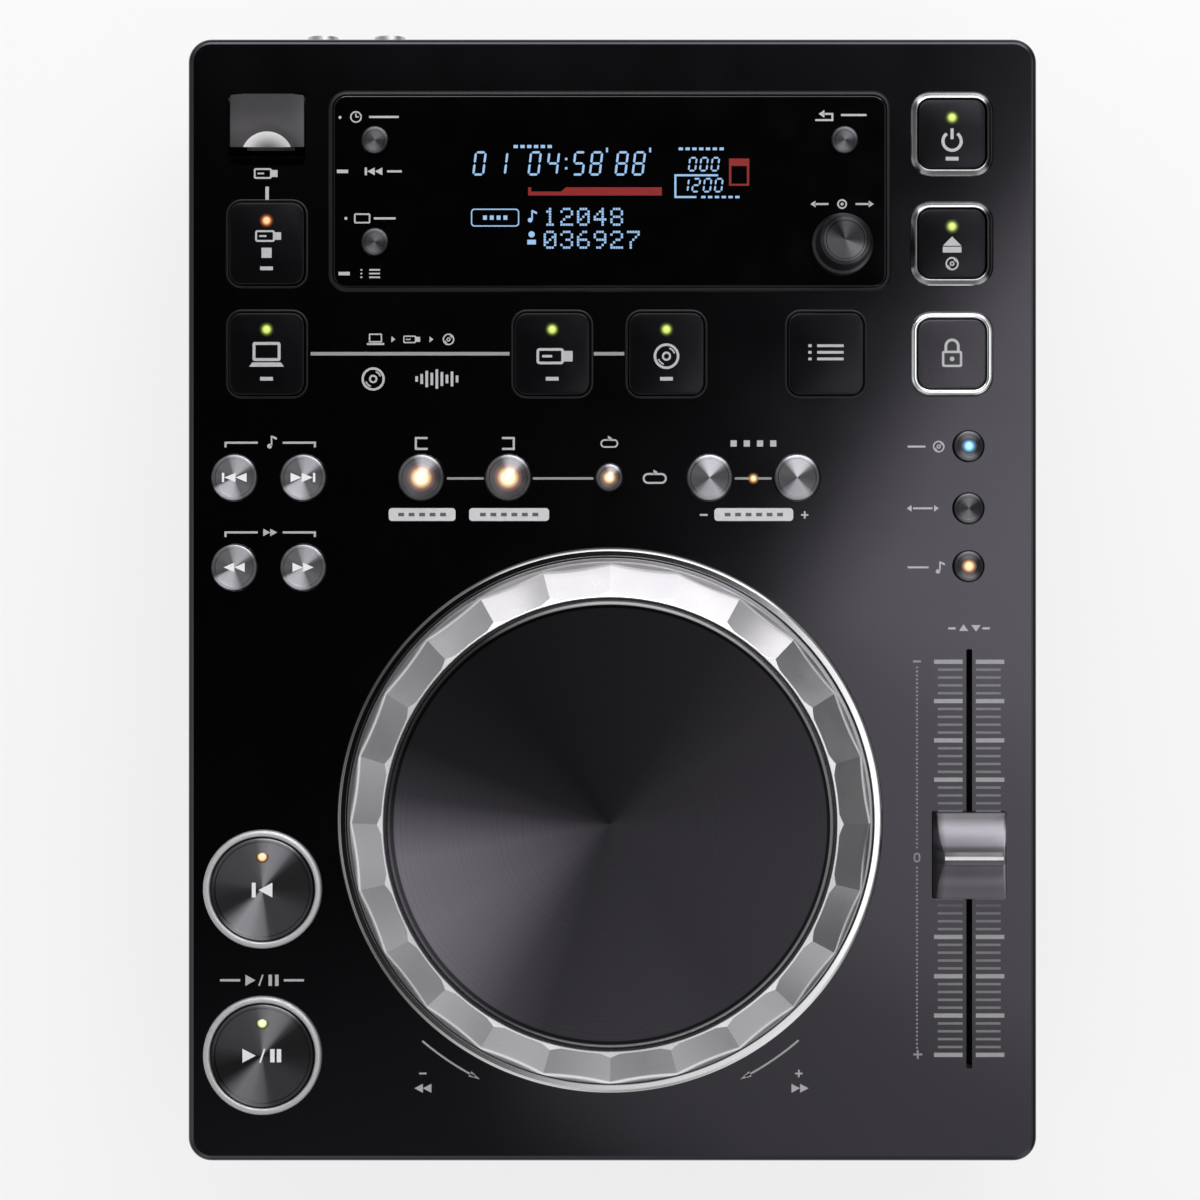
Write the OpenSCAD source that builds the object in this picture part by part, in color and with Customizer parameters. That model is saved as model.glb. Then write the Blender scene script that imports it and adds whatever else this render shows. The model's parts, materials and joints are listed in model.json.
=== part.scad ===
// Tabletop disc player for a turntable-style mixing desk.
// Lengths are millimetres. +X is the user's right, +Y points to the rear, +Z is up.
// The origin is on the table, under the middle of the whole outline.
// "f" values are distances back from the front edge of the top panel.

/* [Body] */
// Width of the top panel
body_w = 218.5; // [205:0.5:240]
// Depth of the top panel, without the sockets behind it
body_d = 289; // [280:0.5:310]
// Height of the top panel's face above the table
panel_z = 88; // [86:0.5:100]
// Thickness of the top panel
panel_t = 3; // [2.5:0.1:3.5]
// Corner radius of the outline, seen from above
corner_r = 6; // [4:0.5:9]
// Rounding of the top panel's upper edge
edge_r = 1.4; // [0.6:0.1:2]
// Thickness of the cabinet's side walls
wall = 2.5; // [2:0.1:3.2]
// Height of the cabinet's lower edge above the table
skirt_z = 22; // [16:0.5:24]
// Sheet thickness of the steel parts
sheet = 1.2; // [0.8:0.1:1.5]
// Height of the chassis walls above its floor
tray_h = 26; // [22:1:30]

/* [Feet] */
// Height of the rubber feet
foot_h = 7; // [5:0.5:10]
// Radius of the rubber feet
foot_r = 10; // [8:0.5:12]
// Distance from the side of the panel to a foot's centre
foot_inset_x = 21; // [18:0.5:26]
// Distance from the front or rear of the panel to a foot's centre
foot_inset_y = 20; // [16:0.5:28]

/* [Jog wheel] */
// Distance from the front edge to the wheel's centre
jog_f = 87.8; // [84:0.2:92]
// Radius of the wheel at its foot
jog_r = 66.9; // [62:0.1:67.5]
// Height of the wheel above the top panel
jog_h = 18.6; // [16:0.1:22]
// Width of the scooped band
scoop_band = 6.8; // [5:0.1:9]
// Fall of the scooped band from its inner to its outer edge
scoop_drop = 4; // [2.5:0.1:5]
// Number of finger scoops round the wheel
scoop_n = 24; // [18:1:30]
// Radius of each finger scoop
scoop_r = 48; // [30:1:70]
// Width of the bright ring round the wheel
trim_w = 2.4; // [1.8:0.1:3]
// Gap between the wheel and the bright ring
trim_gap = 0.9; // [0.6:0.1:1.4]
// Radius of the wheel's steel axle
axle_r = 4; // [3:0.1:5]
// How far the touch plate gives when it is pressed
plate_travel = 0.3; // [0.2:0.05:0.4]

/* [Square keys] */
// Width of a key that fills its own opening
key_w = 19.4; // [17:0.1:20]
// Depth of a key that fills its own opening
key_d = 21.2; // [18:0.1:22]
// Corner radius of a key
key_r = 3.2; // [2:0.1:4.5]
// Width of a key inside a bright frame
framed_w = 17.4; // [15:0.1:18]
// Depth of a key inside a bright frame
framed_d = 17.8; // [15:0.1:18.5]
// Width of the bright frame's band
frame_band = 1.7; // [1.2:0.1:2.2]
// Height of the square keys above the panel
key_rise = 1; // [0.6:0.1:1.8]

/* [Round keys] */
// Radius of the cue and play keys
transport_r = 13.2; // [11:0.1:14]
// Width of the bright ring round the cue and play keys
transport_band = 1.8; // [1.4:0.1:2.4]
// Radius of the search and loop keys
round_r = 5.9; // [4.8:0.1:6.4]
// Radius of the small keys beside the fader
small_r = 3.9; // [3.2:0.1:4.4]
// Radius of the keys in the display window
window_key_r = 3.5; // [3:0.1:4]
// Height of the round keys above the panel
round_rise = 1.6; // [1:0.1:2.4]
// Travel of every key
key_travel = 0.7; // [0.4:0.1:1]
// Gap round a key in its opening
key_gap = 0.3; // [0.2:0.05:0.4]

/* [Key places] */
// From the middle of the strip left of the display window to the left column
left_col = 1.625; // [0:0.125:2.5]
// From the middle of the strip right of the display window to the right column
right_col = 2.525; // [0:0.025:3]
// From the rear edge to the power key
power_back = 24.6; // [22:0.1:28]
// From the rear edge to the disc eject key
eject_back = 52.8; // [50:0.1:56]
// From the rear edge to the row of source keys
source_back = 81.2; // [78:0.1:86]
// From the rear edge to the row of loop keys
loop_back = 113; // [111:0.1:118]
// From the rear edge to the row of search keys
search_back = 136.1; // [134:0.1:140]
// From the front edge to the cue key
cue_f = 70.1; // [66:0.1:80]
// From the front edge to the play key
play_f = 27.3; // [24:0.1:34]

/* [Display] */
// Width of the display window
window_w = 142.4; // [132:0.2:146]
// Depth of the display window
window_d = 49.4; // [44:0.2:52]
// From the rear edge to the middle of the display window
window_back = 39.3; // [38:0.1:42]
// Thickness of the display window
window_t = 1.9; // [1.6:0.1:2.4]
// Radius of the selector knob at its foot
selector_r = 7.8; // [6.5:0.1:9]
// Height of the selector knob
selector_h = 13; // [10:0.1:16]
// Push travel of the selector knob
selector_travel = 0.5; // [0.3:0.1:0.5]

/* [Tempo fader] */
// Travel of the fader each way from its middle
fader_travel = 50; // [40:0.5:50]
// From the right side to the fader's slot
fader_col = 17.4; // [16.8:0.1:22]
// From the front edge to the middle of the fader
fader_f = 77.9; // [74:0.1:90]
// Width of the fader's slot
slot_w = 2.4; // [1.8:0.1:3]
// Width of the fader's cap at its foot
cap_w = 19; // [15:0.5:20]
// Length of the fader's cap
cap_l = 21; // [17:0.5:24]
// Height of the fader's cap
cap_h = 12.5; // [9:0.5:15]

/* [Memory stick bay] */
// Width of the bay
bay_w = 19.8; // [18:0.1:22]
// Depth of the bay from front to back
bay_d = 18.6; // [17:0.1:21]
// From the rear edge to the back of the bay
bay_back = 14; // [11:0.1:18]
// Length of the hinged lid over the bay
lid_l = 13.8; // [12:0.1:14.5]
// Thickness of the hinged lid
lid_t = 1.7; // [1.4:0.1:2.2]

/* [Disc drive] */
// Height of the disc's underside above the table
disc_z = 45.4; // [44:0.1:50]
// Width of the slot that the disc goes through
slot_disc_w = 126; // [124:0.5:134]
// Height of the slot that the disc goes through
slot_disc_h = 5; // [4.6:0.1:6]
// Width of the front panel
front_w = 176; // [160:1:182]
// Height of the front panel
front_h = 44; // [36:1:44]
// Distance between the drive's side walls
drive_w = 152; // [148:0.5:154]
// Radius of the loading roller at its ends
roller_r = 4.6; // [4:0.1:5]
// Tooth module of the loading gears
gear_m = 0.8; // [0.7:0.05:0.8]
// Teeth on the roller's gear
gear_teeth = 32; // [28:2:32]
// Teeth on the motor's pinion
pinion_teeth = 16; // [16:2:20]
// Travel of the pickup sled
sled_travel = 34; // [30:0.5:35]

/* [Rear sockets] */
// How far the phono sockets reach behind the top panel
jack_out = 7.5; // [6:0.5:9]
// Outer radius of a phono socket
phono_r = 4.15; // [4.1:0.05:4.2]
// Distance between the two phono sockets
phono_pitch = 18; // [16:0.5:22]

/* [Hidden] */
$fn = 64;
eps = 0.01;

// Places of the outline
total_d = body_d + jack_out;
front_y = -total_d / 2;
rear_y = front_y + body_d;
left_x = -body_w / 2;
right_x = body_w / 2;
function fy(f) = front_y + f;
function by(b) = rear_y - b;

// Heights
panel_under = panel_z - panel_t;
floor_z = foot_h + sheet;
tray_top = floor_z + tray_h;
seat_t = 1.5;              // depth of the seats for frames, rings and the window
seat_z = panel_z - seat_t;
board_t = 1.6;
board_drop = 9;            // from the panel's underside down to the control board
board_z = panel_under - board_drop;
switch_h = 4;
stem_z = board_z + switch_h + key_travel + 0.1;
flange_t = 1;
flange_top = panel_under - 0.05;
flange_out = 1.2;

// Chassis inside the cabinet
fit_gap = 0.3;
tray_in = wall + fit_gap;
vent_w = 3;
vent_l = 46;
vent_pitch = 12;
vent_reach = 60;
vent_f = [100, 190];

// Display window
window_x = -0.7;
window_y = by(window_back);
window_left = window_x - window_w / 2;
window_right = window_x + window_w / 2;

// Key places
left_x_col = (left_x + window_left) / 2 + left_col;
right_x_col = (right_x + window_right) / 2 - right_col;
power_pos = [right_x_col, by(power_back)];
eject_pos = [right_x_col, by(eject_back)];
lock_pos = [right_x_col, by(source_back)];
list_gap = 32.4;           // from the beat lock key to the playlist key
playlist_pos = [right_x_col - list_gap, by(source_back)];
source_mid = -0.8;         // middle of the two inner source keys
source_gap = 14.7;         // from that middle to each of them
disc_source_pos = [source_mid + source_gap, by(source_back)];
usb_source_pos = [source_mid - source_gap, by(source_back)];
computer_pos = [left_x_col, by(source_back)];
usb_stop_pos = [left_x_col, by(eject_back)];
window_key_in = 10.8;      // from the window's side to its keys
window_row = 13.1;         // from the window's middle to its rows of keys
time_pos = [window_left + window_key_in, window_y + window_row];
display_pos = [window_left + window_key_in, window_y - window_row];
back_pos = [window_right - window_key_in, window_y + window_row];
selector_pos = [window_right - window_key_in - 0.6, window_y - window_row - 0.6];
search_gap = 17.7;         // between the two keys of a search pair
search_in = 12;            // from the left side to the first search key
track_back_pos = [left_x + search_in, by(loop_back)];
track_next_pos = [left_x + search_in + search_gap, by(loop_back)];
rewind_pos = [left_x + search_in, by(search_back)];
forward_pos = [left_x + search_in + search_gap, by(search_back)];
loop_in_pos = [-49.2, by(loop_back)];
loop_out_pos = [-26.8, by(loop_back)];
loop_exit_pos = [-0.8, by(loop_back)];
beat_minus_pos = [25, by(loop_back)];
beat_plus_pos = [47.5, by(loop_back)];
small_col = right_x - 17.6;
vinyl_pos = [small_col, by(104.9)];
range_pos = [small_col, by(120.9)];
master_pos = [small_col, by(135.8)];
cue_pos = [left_x + 19.2, fy(cue_f)];
play_pos = [left_x + 19.2, fy(play_f)];
framed_keys = [power_pos, eject_pos, lock_pos];
plain_keys = [playlist_pos, disc_source_pos, usb_source_pos, computer_pos, usb_stop_pos];
window_keys = [time_pos, display_pos, back_pos];
round_keys = [track_back_pos, track_next_pos, rewind_pos, forward_pos, loop_in_pos,
    loop_out_pos, beat_minus_pos, beat_plus_pos];
small_keys = [vinyl_pos, range_pos, master_pos];
transport_keys = [cue_pos, play_pos];

// Jog wheel
jog_x = -0.6;
jog_y = fy(jog_f);
jog_top = panel_z + jog_h;
well_r = jog_r + trim_gap;
well_floor = panel_z - 8;
well_floor_t = 2;
well_wall = 2;
trim_seat_r = well_r + trim_w;
rim_top = jog_top - 0.5;
rim_bevel_out = jog_r - 2.1;
plate_r = rim_bevel_out - scoop_band - 1.4;
plate_z = jog_top - 2.1;
web_top = plate_z - plate_travel - 0.2;
web_t = 2;
hub_r = 9;
hub_bottom = well_floor + 1;
clip_z = web_top - 7.2;
running = 0.05;

// Display
module_w = 84;
module_d = 34;

// Tempo fader
fader_x = right_x - fader_col;
fader_y = fy(fader_f);
blade_l = 5;
slot_l = 2 * fader_travel + blade_l + 1;
fader_case_w = 14;
fader_case_h = 13;
fader_case_wall = 1.4;
carriage_l = 8;
cavity_l = 2 * fader_travel + carriage_l + 1.6;
fader_case_l = cavity_l + 12;
cap_z = panel_z + 1.2;

// Memory stick bay
bay_x = left_x_col;
bay_y1 = by(bay_back);
bay_y0 = bay_y1 - bay_d;
bay_floor = panel_z - 12;
bay_wall = 1.6;
lid_clear = 0.3;
hinge_r = 1.5;
hinge_y = bay_y1 - hinge_r - 0.1;
hinge_z = panel_z - 0.1 - hinge_r;
hinge_recess = 2 * hinge_r + 0.4;
lid_front = bay_y1 - lid_l;
lid_pin_r = 0.8;
plug_w = 12.5;             // mouth for a memory stick's plug
plug_d = 5.2;
plug_y = bay_y0 + 5.2;

// Front and rear openings
opening_gap = 0.3;
front_z = 28;
front_flange = 3;
slot_mid_z = disc_z + 2.3;
rear_open_w = body_w - 30.5;
rear_open_top = 74;
rear_plate_y = rear_y - wall - sheet;
rear_w = body_w - 2 * corner_r - 2 * fit_gap;

// Drive
drive_t = 1.6;
drive_floor = disc_z - 15.4;
drive_floor_t = 1.5;
drive_top = disc_z + 12.6;
drive_f0 = 6;
drive_f1 = 158;
spindle_y = jog_y;
roller_f = 20;
roller_z = disc_z - roller_r;
shaft_r = 2;
gear_t = 4;
gear_x = drive_w / 2 + drive_t + 0.6;
gear_gap = (gear_teeth + pinion_teeth) * gear_m / 2;
pinion_y = fy(roller_f) + gear_gap;
motor_x = gear_x + gear_t + 0.8;
motor_wall = 1.5;
motor_clear = 5.75;        // from the motor's end to the tray's wall
motor_l = body_w / 2 - tray_in - sheet - motor_clear - motor_x - motor_wall;
rod_x = 18;
rod_r = 1.5;
rod_z = drive_floor + 6;
sled_rest = 23;
sled_half = 8;
sled_y = spindle_y + sled_rest;
clamp_y = fy(drive_f1 - 4);
clamp_z = disc_z + 8.6;
post_r = 5;
post_x = drive_w / 2 - 10;
post_f = [drive_f0 + 30, drive_f1 - 12];

// Boards on the tray's floor
board_post_h = 5;
board_lift = floor_z + board_post_h;
rear_board_y = [by(114), by(24)];
main_x = [left_x + 16, 28];
supply_x = [36, right_x - 16];
function board_corners(x, y, inset) = [for (i = [0, 1], j = [0, 1])
    [x[i] + inset * (1 - 2 * i), y[j] + inset * (1 - 2 * j)]];
main_posts = board_corners(main_x, rear_board_y, 5);
supply_posts = board_corners(supply_x, rear_board_y, 5);

// Rear sockets
socket_z = 40;
phono_x = left_x + 31.25;
control_x = phono_x + phono_pitch + 22;
usb_b_x = control_x + 24;
inlet_x = right_x - 39.25;
inlet_w = 24;
inlet_h = 16.4;
lock_x = inlet_x - 40;
jack_board_y = rear_plate_y - 12;
phono_neck_r = 3.3;
control_jack_r = 1.8;
screw_r = 1.5;
head_r = 2.9;
side_screw_f = [44, 145, 246];
side_screw_z = skirt_z + 6;
rear_screw_x = rear_open_w / 2 + 3.6;
rear_screw_z = [30, 66];

// ---- Shapes that repeat ----

// Rounded rectangle about the origin
module rounded_rect(w, d, r) {
    square([w - 2 * r, d], center = true);
    square([w, d - 2 * r], center = true);
    for (x = [-1, 1], y = [-1, 1])
        translate([x * (w / 2 - r), y * (d / 2 - r)]) circle(r);
}

// Rounded block that stands on z, h tall
module rounded_block(w, d, r, z, h) {
    translate([0, 0, z]) linear_extrude(h) rounded_rect(w, d, r);
}

module at(p) {
    translate([p[0], p[1], 0]) children();
}

// Section outside a rounded edge of radius e, with its corner towards +X +Y
module edge_waste(e) {
    arc = [for (a = [0 : 22.5 : 90]) [e * cos(a), e * sin(a)]];
    polygon(concat(arc, [[0, e + 1], [e + 1, e + 1], [e + 1, 0]]));
}

// Waste round the upper edge of a rounded slab whose face is at z
module upper_edge_waste(w, d, r, e, z) {
    for (s = [[w, d, 0], [d, w, 90], [w, d, 180], [d, w, 270]])
        rotate([0, 0, s[2]]) translate([s[0] / 2 - e, 0, z - e]) {
            rotate([90, 0, 0]) linear_extrude(s[1] - 2 * r, center = true) edge_waste(e);
            translate([e - r, s[1] / 2 - r, 0]) rotate_extrude(angle = 90)
                translate([r - e, 0]) edge_waste(e);
        }
}

// Square key: cap, retaining flange below the panel, and stem down to its switch
module square_key(p, w, d, tint) {
    top = panel_z + key_rise;
    soft = 0.5;
    color(tint) at(p) {
        hull() {
            rounded_block(w, d, key_r, top - soft - 0.1, 0.1, $fn = 32);
            rounded_block(w - 2 * soft, d - 2 * soft, key_r - soft, top - 0.1, 0.1, $fn = 32);
        }
        rounded_block(w, d, key_r, flange_top - flange_t, top - soft - flange_top + flange_t);
        rounded_block(w + 2 * flange_out, d + 2 * flange_out, key_r + flange_out,
            flange_top - flange_t, flange_t);
        translate([0, 0, stem_z]) cylinder(r = 2, h = flange_top - stem_z - flange_t + eps);
    }
}

// Round key, with a dished face and a softened rim
module round_key(p, r, rise, base_z, tint) {
    top = base_z + rise;
    dish = r * 0.03;
    color(tint) at(p) rotate_extrude() polygon([[0, stem_z], [min(2, r / 2), stem_z],
        [min(2, r / 2), flange_top - flange_t], [r + flange_out, flange_top - flange_t],
        [r + flange_out, flange_top], [r, flange_top], [r, top - 0.6], [r - 0.15, top - 0.25],
        [r - 0.5, top], [r - 0.9, top], [r - 1.1, top - dish], [0, top - 2 * dish]]);
}

// Involute gear outline; backlash is taken off each tooth's thickness
function involute(rb, t) = rb * [cos(t) + t * PI / 180 * sin(t), sin(t) - t * PI / 180 * cos(t)];
function turned(p, a) = [p[0] * cos(a) - p[1] * sin(a), p[0] * sin(a) + p[1] * cos(a)];

module gear_outline(m, teeth, backlash = 0.12) {
    pressure = 20;
    rp = m * teeth / 2;
    rb = rp * cos(pressure);
    tip = rp + 0.92 * m;
    root = rp - 1.2 * m;
    roll = tan(pressure) * 180 / PI;
    inv = roll - pressure;
    half = 90 / teeth - backlash / 2 / rp * 180 / PI + inv;
    tip_roll = sqrt(pow(tip / rb, 2) - 1) * 180 / PI;
    steps = 6;
    flank = [for (i = [0 : steps]) turned(involute(rb, tip_roll * i / steps), -half)];
    mirror_flank = [for (i = [steps : -1 : 0]) [flank[i][0], -flank[i][1]]];
    tooth = concat([turned([root, 0], -half)], flank, mirror_flank, [turned([root, 0], half)]);
    polygon([for (k = [0 : teeth - 1]) for (p = tooth) turned(p, 360 * k / teeth)]);
}

// A screw that enters along -Z from the origin, its head above it
module screw(length) {
    difference() {
        cylinder(r = head_r, h = sheet);
        for (a = [0, 90]) rotate([0, 0, a]) translate([-1.6, -0.4, 0.5]) cube([3.2, 0.8, 2]);
    }
    translate([0, 0, -length]) cylinder(r = screw_r, h = length + eps);
}

// The side screws, or their holes where children are given a wider shape
module at_side_screws() {
    for (side = [-1, 1], f = side_screw_f)
        translate([side * (body_w / 2), fy(f), side_screw_z]) rotate([0, side * 90, 0]) children();
}

module at_rear_screws() {
    for (side = [-1, 1], z = rear_screw_z)
        translate([side * rear_screw_x, rear_y, z]) rotate([-90, 0, 0]) children();
}

// ---- Enclosure ----

module top_panel() {
    post_places = [[left_x + 8, by(8)], [right_x - 8, by(8)], [left_x + 8, by(98)],
        [right_x - 6, by(98)], [window_right + 3.4, by(66)], [left_x + 42, by(66)]];
    color("#18181a") difference() {
        union() {
            translate([0, (front_y + rear_y) / 2, 0])
                rounded_block(body_w, body_d, corner_r, panel_under, panel_t);
            // Lip that locates the panel inside the cabinet
            translate([0, (front_y + rear_y) / 2, 0]) difference() {
                rounded_block(body_w - 2 * (wall + 0.2), body_d - 2 * (wall + 0.2),
                    corner_r - wall, panel_under - 2.5, 2.5 + eps);
                rounded_block(body_w - 2 * (wall + 1.6), body_d - 2 * (wall + 1.6),
                    corner_r - wall - 1, panel_under - 3, 4);
            }
            // Well that the jog wheel turns in, with a boss for its axle
            translate([jog_x, jog_y, well_floor - well_floor_t])
                cylinder(r = well_r + well_wall, h = panel_under - well_floor + well_floor_t + eps);
            // Bay for the memory stick
            translate([bay_x - bay_w / 2 - bay_wall, bay_y0 - bay_wall, bay_floor - bay_wall])
                cube([bay_w + 2 * bay_wall, bay_d + 2 * bay_wall,
                    panel_under - bay_floor + bay_wall + eps]);
            // Posts that carry the control board
            for (p = post_places) at(p) translate([0, 0, board_z])
                cylinder(r = 2.6, h = board_drop + eps);
        }
        translate([0, (front_y + rear_y) / 2, 0])
            upper_edge_waste(body_w, body_d, corner_r, edge_r, panel_z);
        // Jog wheel well, the seat of its bright ring and the axle's hole
        translate([jog_x, jog_y, well_floor]) cylinder(r = well_r, h = 20);
        translate([jog_x, jog_y, seat_z]) cylinder(r = trim_seat_r + 0.05, h = 5);
        translate([jog_x, jog_y, well_floor - 5]) cylinder(r = axle_r + 0.02, h = 8);
        // Display window's seat, and the opening over the display
        translate([window_x, window_y, 0])
            rounded_block(window_w + 0.2, window_d + 0.2, 3.6, seat_z, 5);
        translate([window_x, window_y, 0])
            rounded_block(module_w - 2, module_d - 2, 1, panel_under - 1, 6);
        // Openings for the keys
        for (p = framed_keys) at(p) {
            rounded_block(framed_w + 2 * key_gap, framed_d + 2 * key_gap, key_r + key_gap,
                panel_under - 1, 6);
            rounded_block(framed_w + 2 * (key_gap + frame_band) + 0.1,
                framed_d + 2 * (key_gap + frame_band) + 0.1, key_r + key_gap + frame_band,
                seat_z, 5);
        }
        for (p = plain_keys) at(p)
            rounded_block(key_w + 2 * key_gap, key_d + 2 * key_gap, key_r + key_gap,
                panel_under - 1, 6);
        for (p = window_keys) at(p) key_hole(window_key_r);
        for (p = round_keys) at(p) key_hole(round_r);
        for (p = small_keys) at(p) key_hole(small_r);
        at(loop_exit_pos) key_hole(window_key_r);
        at(selector_pos) key_hole(3.4);
        for (p = transport_keys) at(p) {
            key_hole(transport_r);
            translate([0, 0, seat_z]) cylinder(r = transport_r + key_gap + transport_band + 0.05,
                h = 5);
        }
        // Fader slot
        translate([fader_x, fader_y, 0]) rounded_block(slot_w, slot_l + 2, slot_w / 2 - 0.05,
            panel_under - 1, 6);
        // Memory stick bay, its socket's mouth and its lid's pin holes
        translate([bay_x, (bay_y0 + bay_y1) / 2, 0])
            rounded_block(bay_w, bay_d, 1.6, bay_floor, 20);
        translate([bay_x - bay_w / 2, bay_y1 - hinge_recess, hinge_z - hinge_r - 0.3])
            cube([bay_w, hinge_recess, 10]);
        translate([bay_x - plug_w / 2, plug_y, bay_floor - 5]) cube([plug_w, plug_d, 10]);
        translate([bay_x, hinge_y, hinge_z]) rotate([0, 90, 0])
            cylinder(r = lid_pin_r + running, h = bay_w + 2.4, center = true);
    }
}

module key_hole(r) {
    translate([0, 0, panel_under - 1]) cylinder(r = r + key_gap, h = panel_t + 3);
}

// Four walls of the cabinet, open in front for the disc slot and behind for the sockets
module cabinet() {
    h = panel_under - skirt_z;
    color("#1b1b1d") difference() {
        translate([0, (front_y + rear_y) / 2, 0])
            rounded_block(body_w, body_d, corner_r, skirt_z, h);
        translate([0, (front_y + rear_y) / 2, 0])
            rounded_block(body_w - 2 * wall, body_d - 2 * wall, corner_r - wall, skirt_z - 1,
                h + 2);
        translate([-front_w / 2, front_y - 1, front_z]) cube([front_w, wall + 2, front_h]);
        translate([-rear_open_w / 2, rear_y - wall - 1, skirt_z - 1])
            cube([rear_open_w, wall + 2, rear_open_top - skirt_z + 1]);
        at_side_screws() screw_seat();
        at_rear_screws() screw_seat();
    }
}

// Counterbore and clearance hole of a screw that enters along -Z
module screw_seat() {
    translate([0, 0, -sheet - 0.1]) cylinder(r = head_r + 0.15, h = sheet + 1);
    translate([0, 0, -9]) cylinder(r = screw_r + 0.1, h = 10);
}

// Steel tray with a vented floor, board posts and drive posts
module bottom_chassis() {
    w = body_w - 2 * tray_in;
    d = body_d - 2 * tray_in;
    mid_y = (front_y + rear_y) / 2;
    color("#222224") difference() {
        translate([0, mid_y, 0]) rounded_block(w, d, corner_r - wall, foot_h, tray_h + sheet);
        translate([0, mid_y, 0])
            rounded_block(w - 2 * sheet, d - 2 * sheet, corner_r - wall - sheet, floor_z,
                tray_h + 1);
        // The rear panel stands in place of the rear wall
        translate([-rear_w / 2 - fit_gap, by(tray_in + sheet + 1), floor_z])
            cube([rear_w + 2 * fit_gap, 20, tray_h + 1]);
        translate([-w / 2 - 1, rear_plate_y - 0.1, floor_z]) cube([w + 2, 20, tray_h + 1]);
        // The front wall stops under the front panel
        translate([-w / 2 - 1, front_y, front_z - front_flange - 1]) cube([w + 2, 12, tray_h]);
        // Vents in two fields of slots
        for (x = [-vent_reach : vent_pitch : vent_reach], f = vent_f)
            translate([x - vent_w / 2, fy(f), foot_h - 1]) cube([vent_w, vent_l, sheet + 2]);
        at_side_screws() translate([0, 0, -9]) cylinder(r = screw_r + running, h = 10);
    }
    color("#222224") {
        for (x = [-post_x, post_x], f = post_f) translate([x, fy(f), floor_z])
            cylinder(r = post_r, h = drive_floor - floor_z);
        for (p = concat(main_posts, supply_posts)) at(p) translate([0, 0, floor_z])
            cylinder(r = 3, h = board_post_h);
    }
}

// Moulded panel round the disc slot, with a flange behind the cabinet wall
module front_panel() {
    lip = 3;
    depth = 0.5;           // how far its face lies behind the cabinet's
    color("#0c0c0e") difference() {
        union() {
            translate([-front_w / 2 + opening_gap, front_y + depth, front_z + opening_gap])
                cube([front_w - 2 * opening_gap, wall - depth + eps, front_h - 2 * opening_gap]);
            translate([-front_w / 2 - front_flange, front_y + wall, front_z - front_flange])
                cube([front_w + 2 * front_flange, 1.2, front_h + 2 * front_flange]);
        }
        // Shallow recess, then the slot itself
        translate([0, front_y + 1.3, slot_mid_z]) rotate([90, 0, 0]) linear_extrude(3)
            rounded_rect(slot_disc_w + 8, slot_disc_h + 2 * lip, 3);
        translate([0, front_y + 6, slot_mid_z]) rotate([90, 0, 0]) linear_extrude(8)
            rounded_rect(slot_disc_w, slot_disc_h, 1.2);
        // Pin hole for forced eject
        translate([slot_disc_w / 2 + 13, front_y + 6, slot_mid_z - 8]) rotate([90, 0, 0])
            cylinder(r = 0.8, h = 8);
    }
}

// Steel plate that carries the sockets
module rear_panel() {
    h = rear_open_top + 4 - floor_z;
    color("#1e1e20") difference() {
        translate([-rear_w / 2, rear_plate_y, floor_z]) cube([rear_w, sheet, h]);
        for (i = [0, 1]) translate([phono_x + i * phono_pitch, rear_plate_y - 1, socket_z])
            rotate([-90, 0, 0]) cylinder(r = phono_r + 0.15, h = sheet + 2);
        translate([control_x, rear_plate_y - 1, socket_z]) rotate([-90, 0, 0])
            cylinder(r = 4, h = sheet + 2);
        translate([usb_b_x - 6.2, rear_plate_y - 1, socket_z - 5.7])
            cube([12.4, sheet + 2, 11.4]);
        translate([inlet_x - inlet_w / 2 - 1.7, rear_plate_y - 1, socket_z - inlet_h / 2 - 1.7])
            cube([inlet_w + 3.4, sheet + 2, inlet_h + 3.4]);
        translate([lock_x - 3.5, rear_plate_y - 1, socket_z - 1.5]) cube([7, sheet + 2, 3]);
        at_rear_screws() translate([0, 0, -9]) cylinder(r = screw_r + running, h = 10);
    }
}

module rubber_feet() {
    color("#101010") for (x = [-1, 1], y = [fy(foot_inset_y), by(foot_inset_y)])
        translate([x * (body_w / 2 - foot_inset_x), y, 0]) rotate_extrude()
            polygon([[4.5, 2.5], [4.5, 0], [foot_r - 1, 0], [foot_r - 0.3, 0.4], [foot_r, 1.2],
                [foot_r, foot_h], [0, foot_h], [0, 2.5]]);
}

module case_screws() {
    color("#2a2a2c") {
        at_side_screws() translate([0, 0, -sheet - 0.1]) screw(wall + fit_gap + 0.6);
        at_rear_screws() translate([0, 0, -sheet - 0.1]) screw(wall + 1.5);
    }
}

module display_window() {
    color("#08080a") difference() {
        translate([window_x, window_y, 0])
            rounded_block(window_w, window_d, 3.5, seat_z, window_t);
        translate([window_x, window_y, 0])
            upper_edge_waste(window_w, window_d, 3.5, 0.4, seat_z + window_t);
        for (p = window_keys) at(p) translate([0, 0, seat_z - 1])
            cylinder(r = window_key_r + key_gap, h = 6);
        at(selector_pos) translate([0, 0, seat_z - 1]) cylinder(r = 3.7, h = 6);
    }
}

// Glass display tube on its own small board
module display_module() {
    color("#30343a") translate([window_x, window_y, 0]) {
        translate([0, 0, board_z + 1]) linear_extrude(board_t)
            square([module_w + 8, module_d + 6], center = true);
        translate([0, 0, board_z + 1 + board_t - eps])
            rounded_block(module_w, module_d, 1, 0, panel_under - 0.2 - board_z - 1 - board_t);
        for (x = [-1, 1], y = [-1, 1])
            translate([x * (module_w / 2), y * (module_d / 2), board_z])
                cylinder(r = 1.2, h = 1 + eps);
    }
}

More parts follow.
